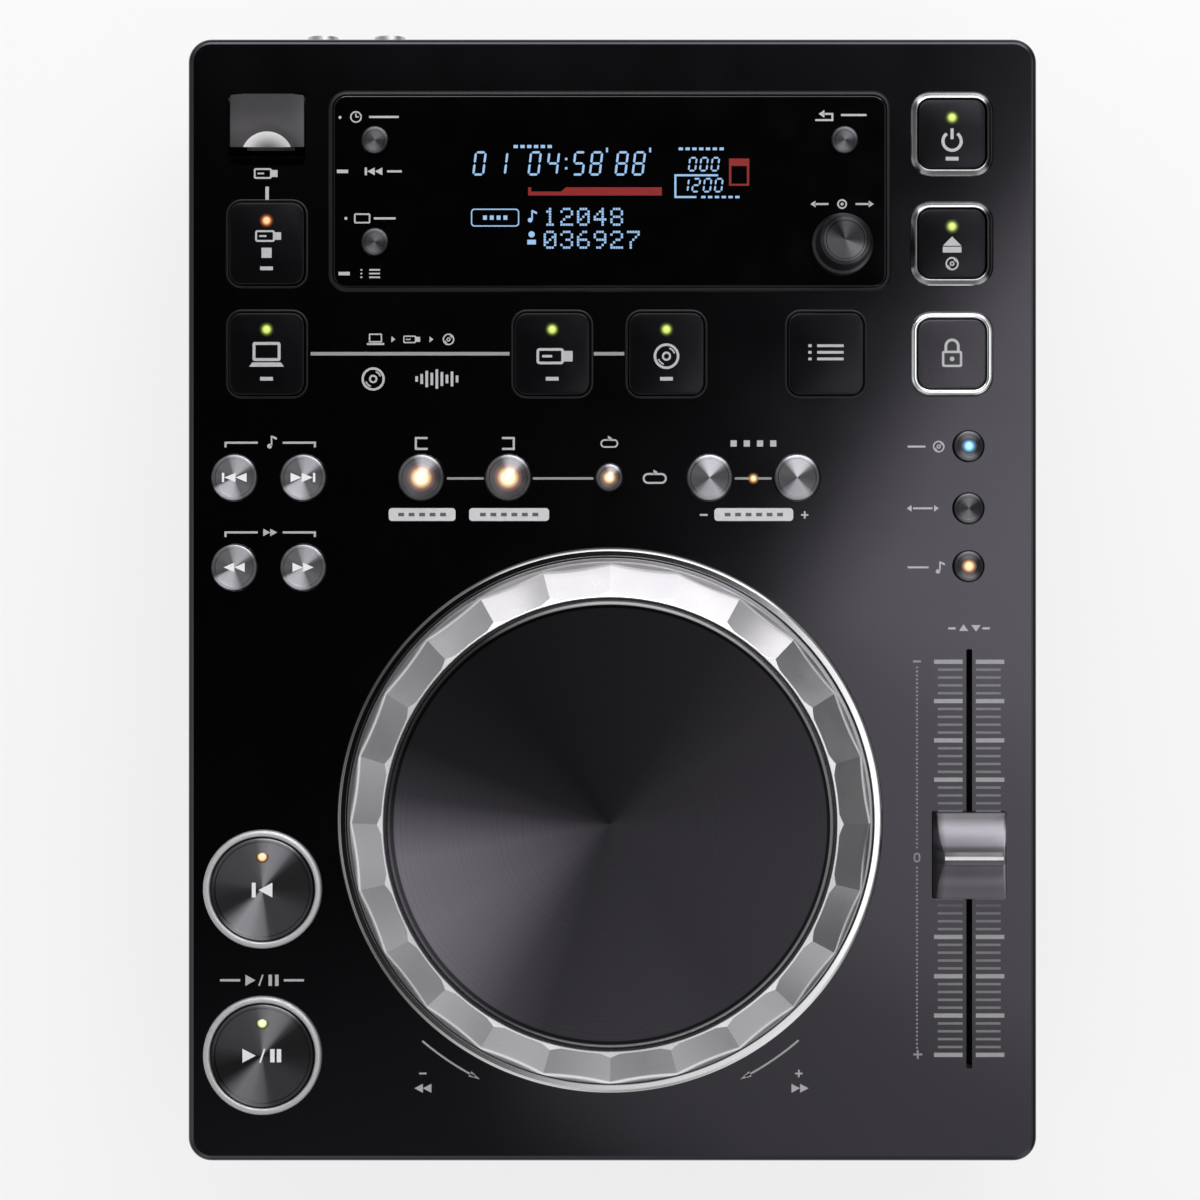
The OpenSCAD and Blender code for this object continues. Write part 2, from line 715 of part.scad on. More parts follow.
module jog_trim_ring() {
    color("#d8d8dc") translate([jog_x, jog_y, 0]) rotate_extrude($fn = 180)
        polygon([[well_r, seat_z], [trim_seat_r, seat_z], [trim_seat_r, panel_z + 0.5],
            [trim_seat_r - 0.5, panel_z + 1.2], [trim_seat_r - 1.1, panel_z + 1.5],
            [well_r + 0.6, panel_z + 1.5], [well_r, panel_z + 1]]);
}

// Bright frames of three square keys and the rings of the cue and play keys
module key_frames() {
    w = framed_w + 2 * key_gap;
    d = framed_d + 2 * key_gap;
    frame_h = seat_t + 1.3;
    color("#c9c9ce") {
        for (p = framed_keys) at(p) difference() {
            rounded_block(w + 2 * frame_band, d + 2 * frame_band, key_r + key_gap + frame_band,
                seat_z, frame_h);
            rounded_block(w, d, key_r + key_gap, seat_z - 1, frame_h + 2);
            upper_edge_waste(w + 2 * frame_band, d + 2 * frame_band,
                key_r + key_gap + frame_band, 0.6, seat_z + frame_h);
        }
        inner = transport_r + key_gap;
        outer = inner + transport_band;
        top = panel_z + 1.6;
        for (p = transport_keys) at(p) rotate_extrude($fn = 96)
            polygon([[inner, seat_z], [outer, seat_z], [outer, top - 0.9], [outer - 0.3, top - 0.35],
                [outer - 0.8, top], [inner + 0.5, top], [inner, top - 0.5]]);
    }
}

// ---- Boards ----

module tact_switch() {
    translate([-3, -3, board_z - eps]) cube([6, 6, switch_h - 1]);
    translate([0, 0, board_z]) cylinder(r = 1.7, h = switch_h);
}

// Board under the panel, with a switch under each key and the selector's encoder
module control_board() {
    edge = 6;
    color("#1d4a2c") difference() {
        union() {
            translate([left_x + edge, front_y + edge, board_z - board_t])
                cube([body_w - 2 * edge, body_d - 2 * edge, board_t]);
            for (p = concat(framed_keys, plain_keys, window_keys, round_keys, small_keys,
                transport_keys, [loop_exit_pos])) at(p) tact_switch();
            at(selector_pos) translate([-6, -6, board_z - eps]) cube([12, 12, 5]);
            at(selector_pos) translate([0, 0, board_z]) cylinder(r = 3.9, h = 6.5);
        }
        at(selector_pos) translate([0, 0, board_z + 1]) cylinder(r = 3 + running, h = 8);
        translate([jog_x, jog_y, board_z - 5]) cylinder(r = well_r + well_wall + 0.6, h = 10);
        translate([fader_x - fader_case_w / 2 - 0.5, fader_y - fader_case_l / 2 - 0.5, board_z - 5])
            cube([fader_case_w + 1, fader_case_l + 1, 10]);
        translate([bay_x - bay_w / 2 - 4, bay_y0 - 4, board_z - 5])
            cube([bay_w + 8, bay_d + 8, 10]);
    }
}

module main_board() {
    color("#1f5a36") {
        translate([main_x[0], rear_board_y[0], board_lift])
            cube([main_x[1] - main_x[0], rear_board_y[1] - rear_board_y[0], board_t]);
        // Processor, memory and drive connector
        for (c = [[-40, 60, 24, 24, 2.4], [-6, 66, 14, 20, 1.6], [-74, 40, 10, 30, 6],
            [-30, 20, 30, 6, 5], [4, 22, 12, 12, 8]])
            translate([c[0], rear_board_y[0] + c[1], board_lift + board_t - eps])
                cube([c[2], c[3], c[4]]);
    }
}

// Mains supply: board, transformer, heat sink and capacitors
module power_supply() {
    y0 = rear_board_y[0];
    z = board_lift + board_t - eps;
    color("#8a6a3a") {
        translate([supply_x[0], y0, board_lift])
            cube([supply_x[1] - supply_x[0], rear_board_y[1] - y0, board_t]);
        translate([supply_x[0] + 16, y0 + 34, z]) cube([26, 22, 20]);
        translate([supply_x[0] + 6, y0 + 20, z]) cube([3, 40, 26]);
        for (p = [[16, 14, 7], [34, 14, 5], [20, 70, 8]])
            translate([supply_x[0] + p[0], y0 + p[1], z]) cylinder(r = p[2], h = 22);
    }
}

// Two-pin mains inlet that snaps into the rear panel
module power_inlet() {
    body_l = 17;
    color("#141416") translate([inlet_x, 0, socket_z]) {
        difference() {
            union() {
                translate([-inlet_w / 2 - 1.6, rear_plate_y - body_l, -inlet_h / 2 - 1.6])
                    cube([inlet_w + 3.2, body_l + sheet + eps, inlet_h + 3.2]);
                translate([-inlet_w / 2 - 3.5, rear_plate_y + sheet, -inlet_h / 2 - 3.5])
                    cube([inlet_w + 7, 2, inlet_h + 7]);
            }
            translate([-inlet_w / 2, rear_plate_y - body_l + 2, -inlet_h / 2])
                cube([inlet_w, body_l + 4, inlet_h]);
        }
        for (x = [-7, 7]) translate([x - 1, rear_plate_y - body_l + 2 - eps, -2])
            cube([2, 12, 4]);
    }
}

// Upright board with the phono pair, the control jack and the computer socket
module jack_board() {
    body_l = rear_plate_y - jack_board_y - board_t;
    y = jack_board_y + board_t - eps;
    color("#20603a") difference() {
        union() {
            translate([phono_x - 12, jack_board_y, floor_z])
                cube([usb_b_x - phono_x + 24, board_t, socket_z + 12 - floor_z]);
            for (i = [0, 1]) translate([phono_x + i * phono_pitch, 0, socket_z]) {
                translate([-6, y, -7]) cube([12, body_l, 14]);
                translate([0, y, 0]) rotate([-90, 0, 0])
                    cylinder(r = phono_neck_r, h = total_d / 2 - y - 1);
                translate([0, rear_y - wall, 0]) rotate([-90, 0, 0])
                    cylinder(r = phono_r, h = jack_out + wall);
            }
            translate([control_x - 4.5, y, socket_z - 5]) cube([9, body_l, 10]);
            translate([control_x, y, socket_z]) rotate([-90, 0, 0])
                cylinder(r = 3.8, h = body_l + sheet + 1.2);
            translate([usb_b_x - 6, y, socket_z - 5.5]) cube([12, body_l + sheet + 0.6, 11]);
        }
        for (i = [0, 1]) translate([phono_x + i * phono_pitch, total_d / 2 - 9, socket_z])
            rotate([-90, 0, 0]) cylinder(r = 1.65, h = 12);
        translate([control_x, rear_plate_y + sheet + 1.2 - 11, socket_z]) rotate([-90, 0, 0])
            cylinder(r = control_jack_r, h = 12);
        translate([usb_b_x - 4.2, rear_plate_y - 7, socket_z - 3.9]) cube([8.4, 12, 7.8]);
    }
    color("#e8e8e8") translate([usb_b_x - 2.8, rear_plate_y - 7 - eps, socket_z - 1.6])
        cube([5.6, 6.5, 3.2]);
}

module usb_socket() {
    top = bay_floor - bay_wall;
    depth = 12;
    x = bay_x - plug_w / 2;
    shell = 0.8;
    color("#b8bcc2") {
        difference() {
            translate([x - shell, plug_y - shell, top - depth - 2])
                cube([plug_w + 2 * shell, plug_d + 2 * shell, depth + 2]);
            translate([x, plug_y, top - depth]) cube([plug_w, plug_d, depth + 1]);
        }
        translate([x + 0.7, plug_y + 3, top - depth - eps]) cube([plug_w - 1.4, 1.9, depth - 2]);
        translate([bay_x - 11, plug_y - 6, top - depth - 2 - board_t])
            cube([22, plug_d + 12, board_t + eps]);
    }
}

// Lid over the memory stick bay, hinged along its rear edge
module usb_lid() {
    w = bay_w - 2 * lid_clear;
    top = hinge_z + hinge_r;
    notch_r = 5.65;
    notch_depth = 4;
    color("#5c5b60") difference() {
        union() {
            translate([bay_x - w / 2, lid_front, top - lid_t])
                cube([w, hinge_y - lid_front, lid_t]);
            translate([bay_x, hinge_y, hinge_z]) rotate([0, 90, 0])
                cylinder(r = hinge_r, h = w, center = true);
            translate([bay_x, hinge_y, hinge_z]) rotate([0, 90, 0])
                cylinder(r = lid_pin_r, h = bay_w + 2, center = true);
        }
        translate([bay_x, lid_front + notch_depth - notch_r, top - 0.9]) rotate([-8, 0, 0])
            cylinder(r = notch_r, h = 3);
    }
}

// ---- Disc drive ----

module drive_frame() {
    side_h = drive_top - drive_floor;
    y0 = fy(drive_f0);
    y1 = fy(drive_f1);
    block_l = 3;
    color("#9aa0a4") difference() {
        union() {
            translate([-drive_w / 2 - drive_t, y0, drive_floor])
                cube([drive_w + 2 * drive_t, y1 - y0, drive_floor_t]);
            for (side = [-1, 1]) translate([side * (drive_w + drive_t) / 2, (y0 + y1) / 2,
                drive_floor + side_h / 2]) cube([drive_t, y1 - y0, side_h], center = true);
            // Blocks that hold the guide rods
            for (x = [-rod_x, rod_x], y = [sled_y - sled_half - 0.8 - block_l,
                sled_y + sled_travel + sled_half + 0.8])
                translate([x - 3, y, drive_floor + eps]) cube([6, block_l, rod_z + 3 - drive_floor]);
            // Bracket of the loading motor
            translate([drive_w / 2, pinion_y + 9, drive_floor])
                cube([motor_x + motor_wall - drive_w / 2, 10, drive_floor_t]);
            translate([motor_x, pinion_y - 11, drive_floor])
                cube([motor_wall, 30, roller_z + 12 - drive_floor]);
        }
        // Window that the sled moves in
        translate([-rod_x + 5, sled_y - sled_half, drive_floor - 1])
            cube([2 * rod_x - 10, sled_travel + 2 * sled_half, 4]);
        // Roller, clamp and rod bores
        translate([0, fy(roller_f), roller_z]) rotate([0, 90, 0])
            cylinder(r = shaft_r + running, h = drive_w + 20, center = true);
        translate([0, clamp_y, clamp_z]) rotate([0, 90, 0])
            cylinder(r = 1.5 + running, h = drive_w + 20, center = true);
        for (x = [-rod_x, rod_x]) translate([x, 0, rod_z]) rotate([-90, 0, 0])
            cylinder(r = rod_r + 0.02, h = 400, center = true);
        translate([motor_x - 1, pinion_y, roller_z]) rotate([0, 90, 0]) cylinder(r = 3.2, h = 4);
    }
}

// Steel shaft with its rubber roller, slimmer in the middle, and the driven gear
module loading_roller() {
    half = drive_w / 2 - 4;
    color("#26262a") translate([0, fy(roller_f), roller_z]) rotate([0, 90, 0]) {
        translate([0, 0, -drive_w / 2 - drive_t + 0.2])
            cylinder(r = shaft_r, h = drive_w / 2 + drive_t + gear_x + gear_t - 0.2);
        for (s = [0, 180]) rotate([s, 0, 0]) cylinder(r1 = roller_r - 0.5, r2 = roller_r, h = half);
        translate([0, 0, gear_x]) rotate([0, 0, 90]) linear_extrude(gear_t)
            gear_outline(gear_m, gear_teeth);
    }
}

module motor_pinion() {
    color("#e6e0d0") translate([gear_x, pinion_y, roller_z]) rotate([0, 90, 0]) difference() {
        rotate([0, 0, -90 + 180 / pinion_teeth]) linear_extrude(gear_t)
            gear_outline(gear_m, pinion_teeth);
        translate([0, 0, -1]) cylinder(r = 1, h = gear_t + 2);
    }
}

module loading_motor() {
    color("#b0b4b8") translate([0, pinion_y, roller_z]) rotate([0, 90, 0]) {
        translate([0, 0, motor_x + motor_wall]) cylinder(r = 8.6, h = motor_l);
        translate([0, 0, motor_x]) cylinder(r = 3, h = motor_wall + eps);
        translate([0, 0, gear_x - 0.4]) cylinder(r = 1 - 0.03, h = motor_x - gear_x + 0.5);
    }
}

module spindle_motor() {
    color("#b4b8bc") translate([jog_x, spindle_y, drive_floor + drive_floor_t]) difference() {
        cylinder(r = 11, h = 7.5);
        translate([0, 0, 2]) cylinder(r = 1.5 + running, h = 10);
    }
}

// Turntable that the disc is clamped to, with its shaft down into the motor
module disc_turntable() {
    foot = drive_floor + drive_floor_t + 7.5;
    color("#e4e4e2") translate([jog_x, spindle_y, 0]) rotate_extrude()
        polygon([[0, foot - 5], [1.5, foot - 5], [1.5, foot + 0.4], [9, foot + 0.4],
            [9, disc_z - 2], [14, disc_z - 2], [14, disc_z], [7.4, disc_z], [7.3, disc_z + 0.8],
            [5.5, disc_z + 1.8], [0, disc_z + 1.8]]);
}

// Plate that presses the disc on the turntable, hinged at the rear of the drive
module clamp_arm() {
    arm_t = 1.5;
    puck_r = 13.5;
    reach = clamp_y - spindle_y;
    color("#a8acb0") difference() {
        union() {
            translate([jog_x - 22, spindle_y - 16, clamp_z - 0.2])
                cube([44, reach + 16, arm_t]);
            translate([-drive_w / 2 + 1, clamp_y - 5, clamp_z - 0.2])
                cube([drive_w - 2, 7, arm_t]);
            translate([0, clamp_y, clamp_z]) rotate([0, 90, 0])
                cylinder(r = 1.5, h = drive_w + 2 * drive_t - 0.4, center = true);
            translate([jog_x, spindle_y, disc_z + 0.4])
                cylinder(r = puck_r, h = clamp_z - disc_z - 0.5);
        }
        translate([jog_x, spindle_y, disc_z - 1]) cylinder(r = 8, h = 3.6);
        for (y = [28, 52]) translate([jog_x - 12, spindle_y + y, clamp_z - 1])
            cube([24, 10, arm_t + 2]);
    }
}

module pickup_sled() {
    color("#303236") difference() {
        union() {
            translate([-rod_x - 4, sled_y - sled_half, drive_floor + drive_floor_t + 0.4])
                cube([2 * rod_x + 8, 2 * sled_half, 8.5]);
            translate([jog_x, sled_y, drive_floor + 8]) cylinder(r = 3, h = 5.2);
        }
        for (x = [-rod_x, rod_x]) translate([x, 0, rod_z]) rotate([-90, 0, 0])
            cylinder(r = rod_r + running, h = 400, center = true);
    }
}

module guide_rods() {
    y0 = sled_y - sled_half - 3.8;
    color("#c8ccd0") for (x = [-rod_x, rod_x]) translate([x, y0, rod_z]) rotate([-90, 0, 0])
        cylinder(r = rod_r, h = sled_travel + 2 * sled_half + 7.6);
}

// ---- Jog wheel ----

// Wheel whose bevel is cut into shallow finger scoops
module jog_wheel() {
    slope = atan2(scoop_drop, scoop_band);
    bevel_in = rim_bevel_out - scoop_band;
    bevel_top = rim_top - 0.3;
    bevel_low = bevel_top - scoop_drop;
    mid_r = (rim_bevel_out + bevel_in) / 2;
    mid_z = (bevel_top + bevel_low) / 2;
    sag = mid_r * (1 - cos(180 / scoop_n)) + pow(mid_r * sin(180 / scoop_n), 2) / 2 / scoop_r;
    outline = [[axle_r + running, hub_bottom], [hub_r, hub_bottom],
        [hub_r, web_top - web_t], [bevel_in - 5, web_top - web_t],
        [jog_r - 3.2, bevel_low - 5], [jog_r - 2.4, hub_bottom], [jog_r, hub_bottom],
        [jog_r, panel_z + 2.2], [jog_r - 0.5, panel_z + 2.6], [jog_r - 0.3, panel_z + 3.4],
        [jog_r - 0.8, panel_z + 6], [jog_r - 1.3, panel_z + 6.4], [jog_r - 1.1, panel_z + 7.2],
        [rim_bevel_out + 0.5, bevel_low - 1], [rim_bevel_out, bevel_low],
        [bevel_in, bevel_top], [bevel_in - 0.4, rim_top], [plate_r + 0.5, rim_top],
        [plate_r + 0.3, rim_top - 0.3], [plate_r + 0.3, web_top], [7, web_top], [7, clip_z - 0.3],
        [axle_r + running, clip_z - 0.3]];
    color("#c4c4c8") translate([jog_x, jog_y, 0]) difference() {
        rotate_extrude($fn = 180) polygon(outline);
        for (k = [0 : scoop_n - 1]) rotate([0, 0, (k + 0.5) * 360 / scoop_n])
            translate([mid_r, 0, mid_z]) rotate([0, slope, 0])
                translate([0, 0, scoop_r - sag * cos(slope)]) rotate([0, 90, 0])
                    cylinder(r = scoop_r, h = 4 * scoop_band, center = true, $fn = 96);
    }
}

// Touch plate with its spun face
module jog_plate() {
    color("#2a2a2e") translate([jog_x, jog_y, 0]) rotate_extrude($fn = 180)
        polygon([[0, plate_z], [plate_r, plate_z], [plate_r, jog_top - 0.9],
            [plate_r - 0.9, jog_top], [0, jog_top]]);
}

// Fixed axle, its flange under the well's floor and the ring that keeps the wheel on
module jog_axle() {
    under = well_floor - well_floor_t;
    color("#c0c4c8") translate([jog_x, jog_y, 0]) rotate_extrude()
        polygon([[0, under - 1.5], [hub_r, under - 1.5], [hub_r, under], [axle_r, under],
            [axle_r, clip_z], [6, clip_z], [6, clip_z + 0.8], [axle_r, clip_z + 0.8],
            [axle_r - 0.5, clip_z + 1.6], [0, clip_z + 1.6]]);
}

// ---- Tempo fader ----

module fader_case() {
    z0 = panel_under - fader_case_h;
    color("#8c9094") translate([fader_x, fader_y, z0]) difference() {
        translate([-fader_case_w / 2, -fader_case_l / 2, 0])
            cube([fader_case_w, fader_case_l, fader_case_h]);
        translate([-fader_case_w / 2 + fader_case_wall, -cavity_l / 2, fader_case_wall])
            cube([fader_case_w - 2 * fader_case_wall, cavity_l, fader_case_h - 2.8]);
        translate([-1.6, -slot_l / 2 - 0.5, fader_case_h / 2]) cube([3.2, slot_l + 1, fader_case_h]);
    }
}

// Carriage inside the case and the blade that carries the cap
module fader_lever() {
    z0 = panel_under - fader_case_h + fader_case_wall + 0.2;
    color("#c8ccd0") translate([fader_x, fader_y, 0]) {
        translate([-(fader_case_w / 2 - fader_case_wall - 0.3), -carriage_l / 2, z0])
            cube([fader_case_w - 2 * fader_case_wall - 0.6, carriage_l, 7]);
        translate([-0.6, -blade_l / 2, z0 + 6]) cube([1.2, blade_l, cap_z + cap_h * 0.6 - z0 - 6]);
    }
}

// Cap with a dished slope each side of its middle ridge
module tempo_knob() {
    toe = 3.5;
    ridge = 2.4;
    dish = 1.6;
    n = 8;
    function slope(t) = [cap_l / 2 - 0.4 + (ridge - cap_l / 2 + 0.4) * t,
        toe + (cap_h - toe) * t - dish * sin(180 * t)];
    side = [for (i = [0 : n]) slope(i / n)];
    other = [for (i = [n : -1 : 0]) [-side[i][0], side[i][1]]];
    taper = atan2(cap_w * 0.1, cap_h);
    color("#77767b") translate([fader_x, fader_y, cap_z]) difference() {
        rotate([90, 0, 90]) linear_extrude(cap_w, center = true)
            polygon(concat([[-cap_l / 2, 0], [cap_l / 2, 0]], side, other));
        for (s = [-1, 1]) translate([s * cap_w / 2, 0, 0]) rotate([0, -s * taper, 0])
            translate([s * 5, 0, 10]) cube([10, cap_l + 4, 40], center = true);
        // Pocket that grips the lever's blade
        translate([-0.65, -blade_l / 2 - 0.05, -1]) cube([1.3, blade_l + 0.1, cap_h * 0.6 + 1.1]);
        // Groove for the index line
        translate([-cap_w, -0.5, cap_h - 0.35]) cube([2 * cap_w, 1, 2]);
    }
}

// ---- Selector ----

module selector_shaft() {
    color("#c0c4c8") at(selector_pos) translate([0, 0, board_z + 1 + selector_travel + 0.3])
        cylinder(r = 3, h = panel_z + selector_h - 2.6 - board_z - selector_travel - 0.3);
}

module selector_knob() {
    foot = panel_z + 1;
    top = foot + selector_h;
    bore_top = panel_z + selector_h - 1.4;
    r = selector_r;
    flutes = 24;
    color("#3a3a3e") at(selector_pos) difference() {
        rotate_extrude() polygon([[3 + running, foot], [r, foot], [r, foot + 2.5],
            [r - 0.7, foot + 3.1], [r - 1.5, top - 0.9], [r - 2.1, top - 0.2], [r - 2.4, top],
            [r - 2.8, top], [r - 3, top - 0.25], [0, top - 0.45], [0, bore_top],
            [3 + running, bore_top]]);
        for (k = [0 : flutes - 1]) rotate([0, 0, k * 360 / flutes])
            translate([r - 0.35, 0, foot + 3.4]) cylinder(r = 0.4, h = selector_h, $fn = 16);
    }
}

// ---- Keys ----

dark = "#1c1c1f";
silver = "#b8b8bc";
smoke = "#4a4a4e";
window_face = seat_z + window_t;

module power_key() { square_key(power_pos, framed_w, framed_d, dark); }
module eject_key() { square_key(eject_pos, framed_w, framed_d, dark); }
module beat_lock_key() { square_key(lock_pos, framed_w, framed_d, smoke); }
module playlist_key() { square_key(playlist_pos, key_w, key_d, dark); }
module disc_source_key() { square_key(disc_source_pos, key_w, key_d, dark); }
module usb_source_key() { square_key(usb_source_pos, key_w, key_d, dark); }
module computer_source_key() { square_key(computer_pos, key_w, key_d, dark); }
module usb_stop_key() { square_key(usb_stop_pos, key_w, key_d, dark); }
module time_mode_key() { round_key(time_pos, window_key_r, round_rise, window_face, smoke); }
module display_mode_key() { round_key(display_pos, window_key_r, round_rise, window_face, smoke); }
module back_key() { round_key(back_pos, window_key_r, round_rise, window_face, smoke); }
module track_back_key() { round_key(track_back_pos, round_r, round_rise, panel_z, silver); }
module track_next_key() { round_key(track_next_pos, round_r, round_rise, panel_z, silver); }
module search_back_key() { round_key(rewind_pos, round_r, round_rise, panel_z, silver); }
module search_forward_key() { round_key(forward_pos, round_r, round_rise, panel_z, silver); }
module loop_in_key() { round_key(loop_in_pos, round_r, round_rise, panel_z, silver); }
module loop_out_key() { round_key(loop_out_pos, round_r, round_rise, panel_z, silver); }
module loop_exit_key() { round_key(loop_exit_pos, window_key_r, round_rise, panel_z, silver); }
module beat_minus_key() { round_key(beat_minus_pos, round_r, round_rise, panel_z, silver); }
module beat_plus_key() { round_key(beat_plus_pos, round_r, round_rise, panel_z, silver); }
module vinyl_mode_key() { round_key(vinyl_pos, small_r, round_rise, panel_z, smoke); }
module tempo_range_key() { round_key(range_pos, small_r, round_rise, panel_z, smoke); }
module master_tempo_key() { round_key(master_pos, small_r, round_rise, panel_z, smoke); }
module cue_key() { round_key(cue_pos, transport_r, round_rise, panel_z, smoke); }
module play_key() { round_key(play_pos, transport_r, round_rise, panel_z, smoke); }

top_panel();
cabinet();
bottom_chassis();
front_panel();
rear_panel();
rubber_feet();
case_screws();
display_window();
display_module();
jog_trim_ring();
key_frames();
control_board();
main_board();
power_supply();
power_inlet();
jack_board();
usb_socket();
usb_lid();
drive_frame();
loading_roller();
loading_motor();
motor_pinion();
spindle_motor();
disc_turntable();
clamp_arm();
pickup_sled();
guide_rods();
jog_wheel();
jog_plate();
jog_axle();
fader_case();
fader_lever();
tempo_knob();
selector_knob();
selector_shaft();
power_key();
eject_key();
beat_lock_key();
playlist_key();
disc_source_key();
usb_source_key();
computer_source_key();
usb_stop_key();
time_mode_key();
display_mode_key();
back_key();
track_back_key();
track_next_key();
search_back_key();
search_forward_key();
loop_in_key();
loop_out_key();
loop_exit_key();
beat_minus_key();
beat_plus_key();
vinyl_mode_key();
tempo_range_key();
master_tempo_key();
cue_key();
play_key();
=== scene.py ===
"""Looks of a tabletop disc player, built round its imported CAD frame.

Sizes of shapes are millimetres and angles are degrees, and both are converted where a mesh or a
node is made. Lamps and the camera are placed in metres. The frame has +X to the user's right, +Y to
the rear and +Z up. "f" is the distance back from the front edge of the top panel.
"""
import json
import math

import bmesh
import bpy
from mathutils import Matrix, Vector

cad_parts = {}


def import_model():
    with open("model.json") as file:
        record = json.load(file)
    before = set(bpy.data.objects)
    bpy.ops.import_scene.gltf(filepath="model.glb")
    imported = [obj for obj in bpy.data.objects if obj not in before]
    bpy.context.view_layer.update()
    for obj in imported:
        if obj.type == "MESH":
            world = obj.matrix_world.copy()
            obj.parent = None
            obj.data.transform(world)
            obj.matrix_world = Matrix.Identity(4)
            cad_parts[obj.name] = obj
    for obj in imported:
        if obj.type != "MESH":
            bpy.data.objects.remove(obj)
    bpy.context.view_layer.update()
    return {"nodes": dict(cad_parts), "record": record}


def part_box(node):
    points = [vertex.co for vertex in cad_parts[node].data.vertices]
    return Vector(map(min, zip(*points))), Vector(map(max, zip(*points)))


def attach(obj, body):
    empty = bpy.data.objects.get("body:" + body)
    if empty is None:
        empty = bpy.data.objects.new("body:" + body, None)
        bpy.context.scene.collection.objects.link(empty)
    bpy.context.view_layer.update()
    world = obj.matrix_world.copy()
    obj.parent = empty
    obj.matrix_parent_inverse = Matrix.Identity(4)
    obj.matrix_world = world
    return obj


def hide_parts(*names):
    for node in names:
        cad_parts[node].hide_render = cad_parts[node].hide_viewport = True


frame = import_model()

MM = 0.001
NODES = frame["nodes"]
BODY_OF = {n: b for b, members in frame["record"]["behaviour"]["bodies"].items() for n in members}

INK = 0.05         # height of a printed shape above what it is printed on
SUNK = 0.03        # how far a printed shape reaches into it
KEY_FLANGE = 1.2   # flange round a key, under the panel
KEY_GAP = 0.3      # between a key and its hole in the panel
KEY_R = 3.2        # corners of a square key
STEM_R = 2
KEY_RIM = 1.1      # from a turned key's side to its dish
DISH = 0.03        # depth of that dish as a share of the key's radius
DISH_FLOOR = 1.4   # depth of its level floor as a share of that depth
DISH_FLAT = 0.72   # radius of the floor as a share of the dish's
NOTCH_R = 6.8      # thumb notch in the stick lid
NOTCH_BACK = 2.8   # from its middle back to the lid's front edge


def box_mm(node):
    low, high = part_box(node)
    return low / MM, high / MM


def middle(node):
    """Middle of a node in X and Y, and the height of its top."""
    low, high = box_mm(node)
    return (low.x + high.x) / 2, (low.y + high.y) / 2, high.z


def width_of(node):
    low, high = box_mm(node)
    return high.x - low.x


def key_body(node):
    """Width and depth of a key above its flange."""
    low, high = box_mm(node)
    return high.x - low.x - 2 * KEY_FLANGE, high.y - low.y - 2 * KEY_FLANGE


def key_hole(node):
    """Width, depth and corner radius of a square key's hole in the panel."""
    w, d = key_body(node)
    return w + 2 * KEY_GAP, d + 2 * KEY_GAP, KEY_R + KEY_GAP


PANEL_LOW, PANEL_HIGH = box_mm("top_panel")
FACE = PANEL_HIGH.z
FRONT = PANEL_LOW.y
GLASS = box_mm("display_window")[1].z
FLANGE_TOP = FACE - 3.05
FLANGE_LOW = FLANGE_TOP - 1
JOG_X, JOG_Y, JOG_TOP = middle("jog_wheel")


# ---- Outlines: lists of 2-D points, anticlockwise ----

def moved(points, at=(0, 0), turn=0, size=1):
    c, s = math.cos(math.radians(turn)) * size, math.sin(math.radians(turn)) * size
    return [(at[0] + x * c - y * s, at[1] + x * s + y * c) for x, y in points]


def rect(w, h, at=(0, 0)):
    return [(at[0] + sx * w / 2, at[1] + sy * h / 2) for sx, sy in ((-1, -1), (1, -1), (1, 1), (-1, 1))]


def arc(r, start, end, at=(0, 0), n=24):
    angles = [math.radians(start + (end - start) * i / n) for i in range(n + 1)]
    return [(at[0] + r * math.cos(a), at[1] + r * math.sin(a)) for a in angles]


def circle(r, at=(0, 0), n=48):
    return arc(r, 0, 360, at, n)[:-1]


def rounded(w, h, r, at=(0, 0), steps=8):
    points = []
    for k, (sx, sy) in enumerate(((1, 1), (-1, 1), (-1, -1), (1, -1))):
        centre = (at[0] + sx * (w / 2 - r), at[1] + sy * (h / 2 - r))
        points += arc(r, 90 * k, 90 * (k + 1), centre, steps)
    return points


def ribbon(points, width, closed=False):
    """Left and right side of a stroke along the points, mitred at its corners."""
    sides = ([], [])
    n = len(points)
    for i, (x, y) in enumerate(points):
        before = points[i - 1] if i or closed else None
        after = points[(i + 1) % n] if i < n - 1 or closed else None
        steps = []
        for p, q in ((before, (x, y)), ((x, y), after)):
            if p and q:
                length = math.hypot(q[0] - p[0], q[1] - p[1])
                steps.append(((q[0] - p[0]) / length, (q[1] - p[1]) / length))
        tx = sum(s[0] for s in steps)
        ty = sum(s[1] for s in steps)
        length = math.hypot(tx, ty)
        tx, ty = tx / length, ty / length
        reach = width / 2 / max(0.3, tx * steps[0][0] + ty * steps[0][1])
        sides[0].append((x - ty * reach, y + tx * reach))
        sides[1].append((x + ty * reach, y - tx * reach))
    return sides


def triangle(w, h, at=(0, 0), turn=0):
    return moved([(-w / 2, -h / 2), (w / 2, 0), (-w / 2, h / 2)], at, turn)


# ---- Meshes ----

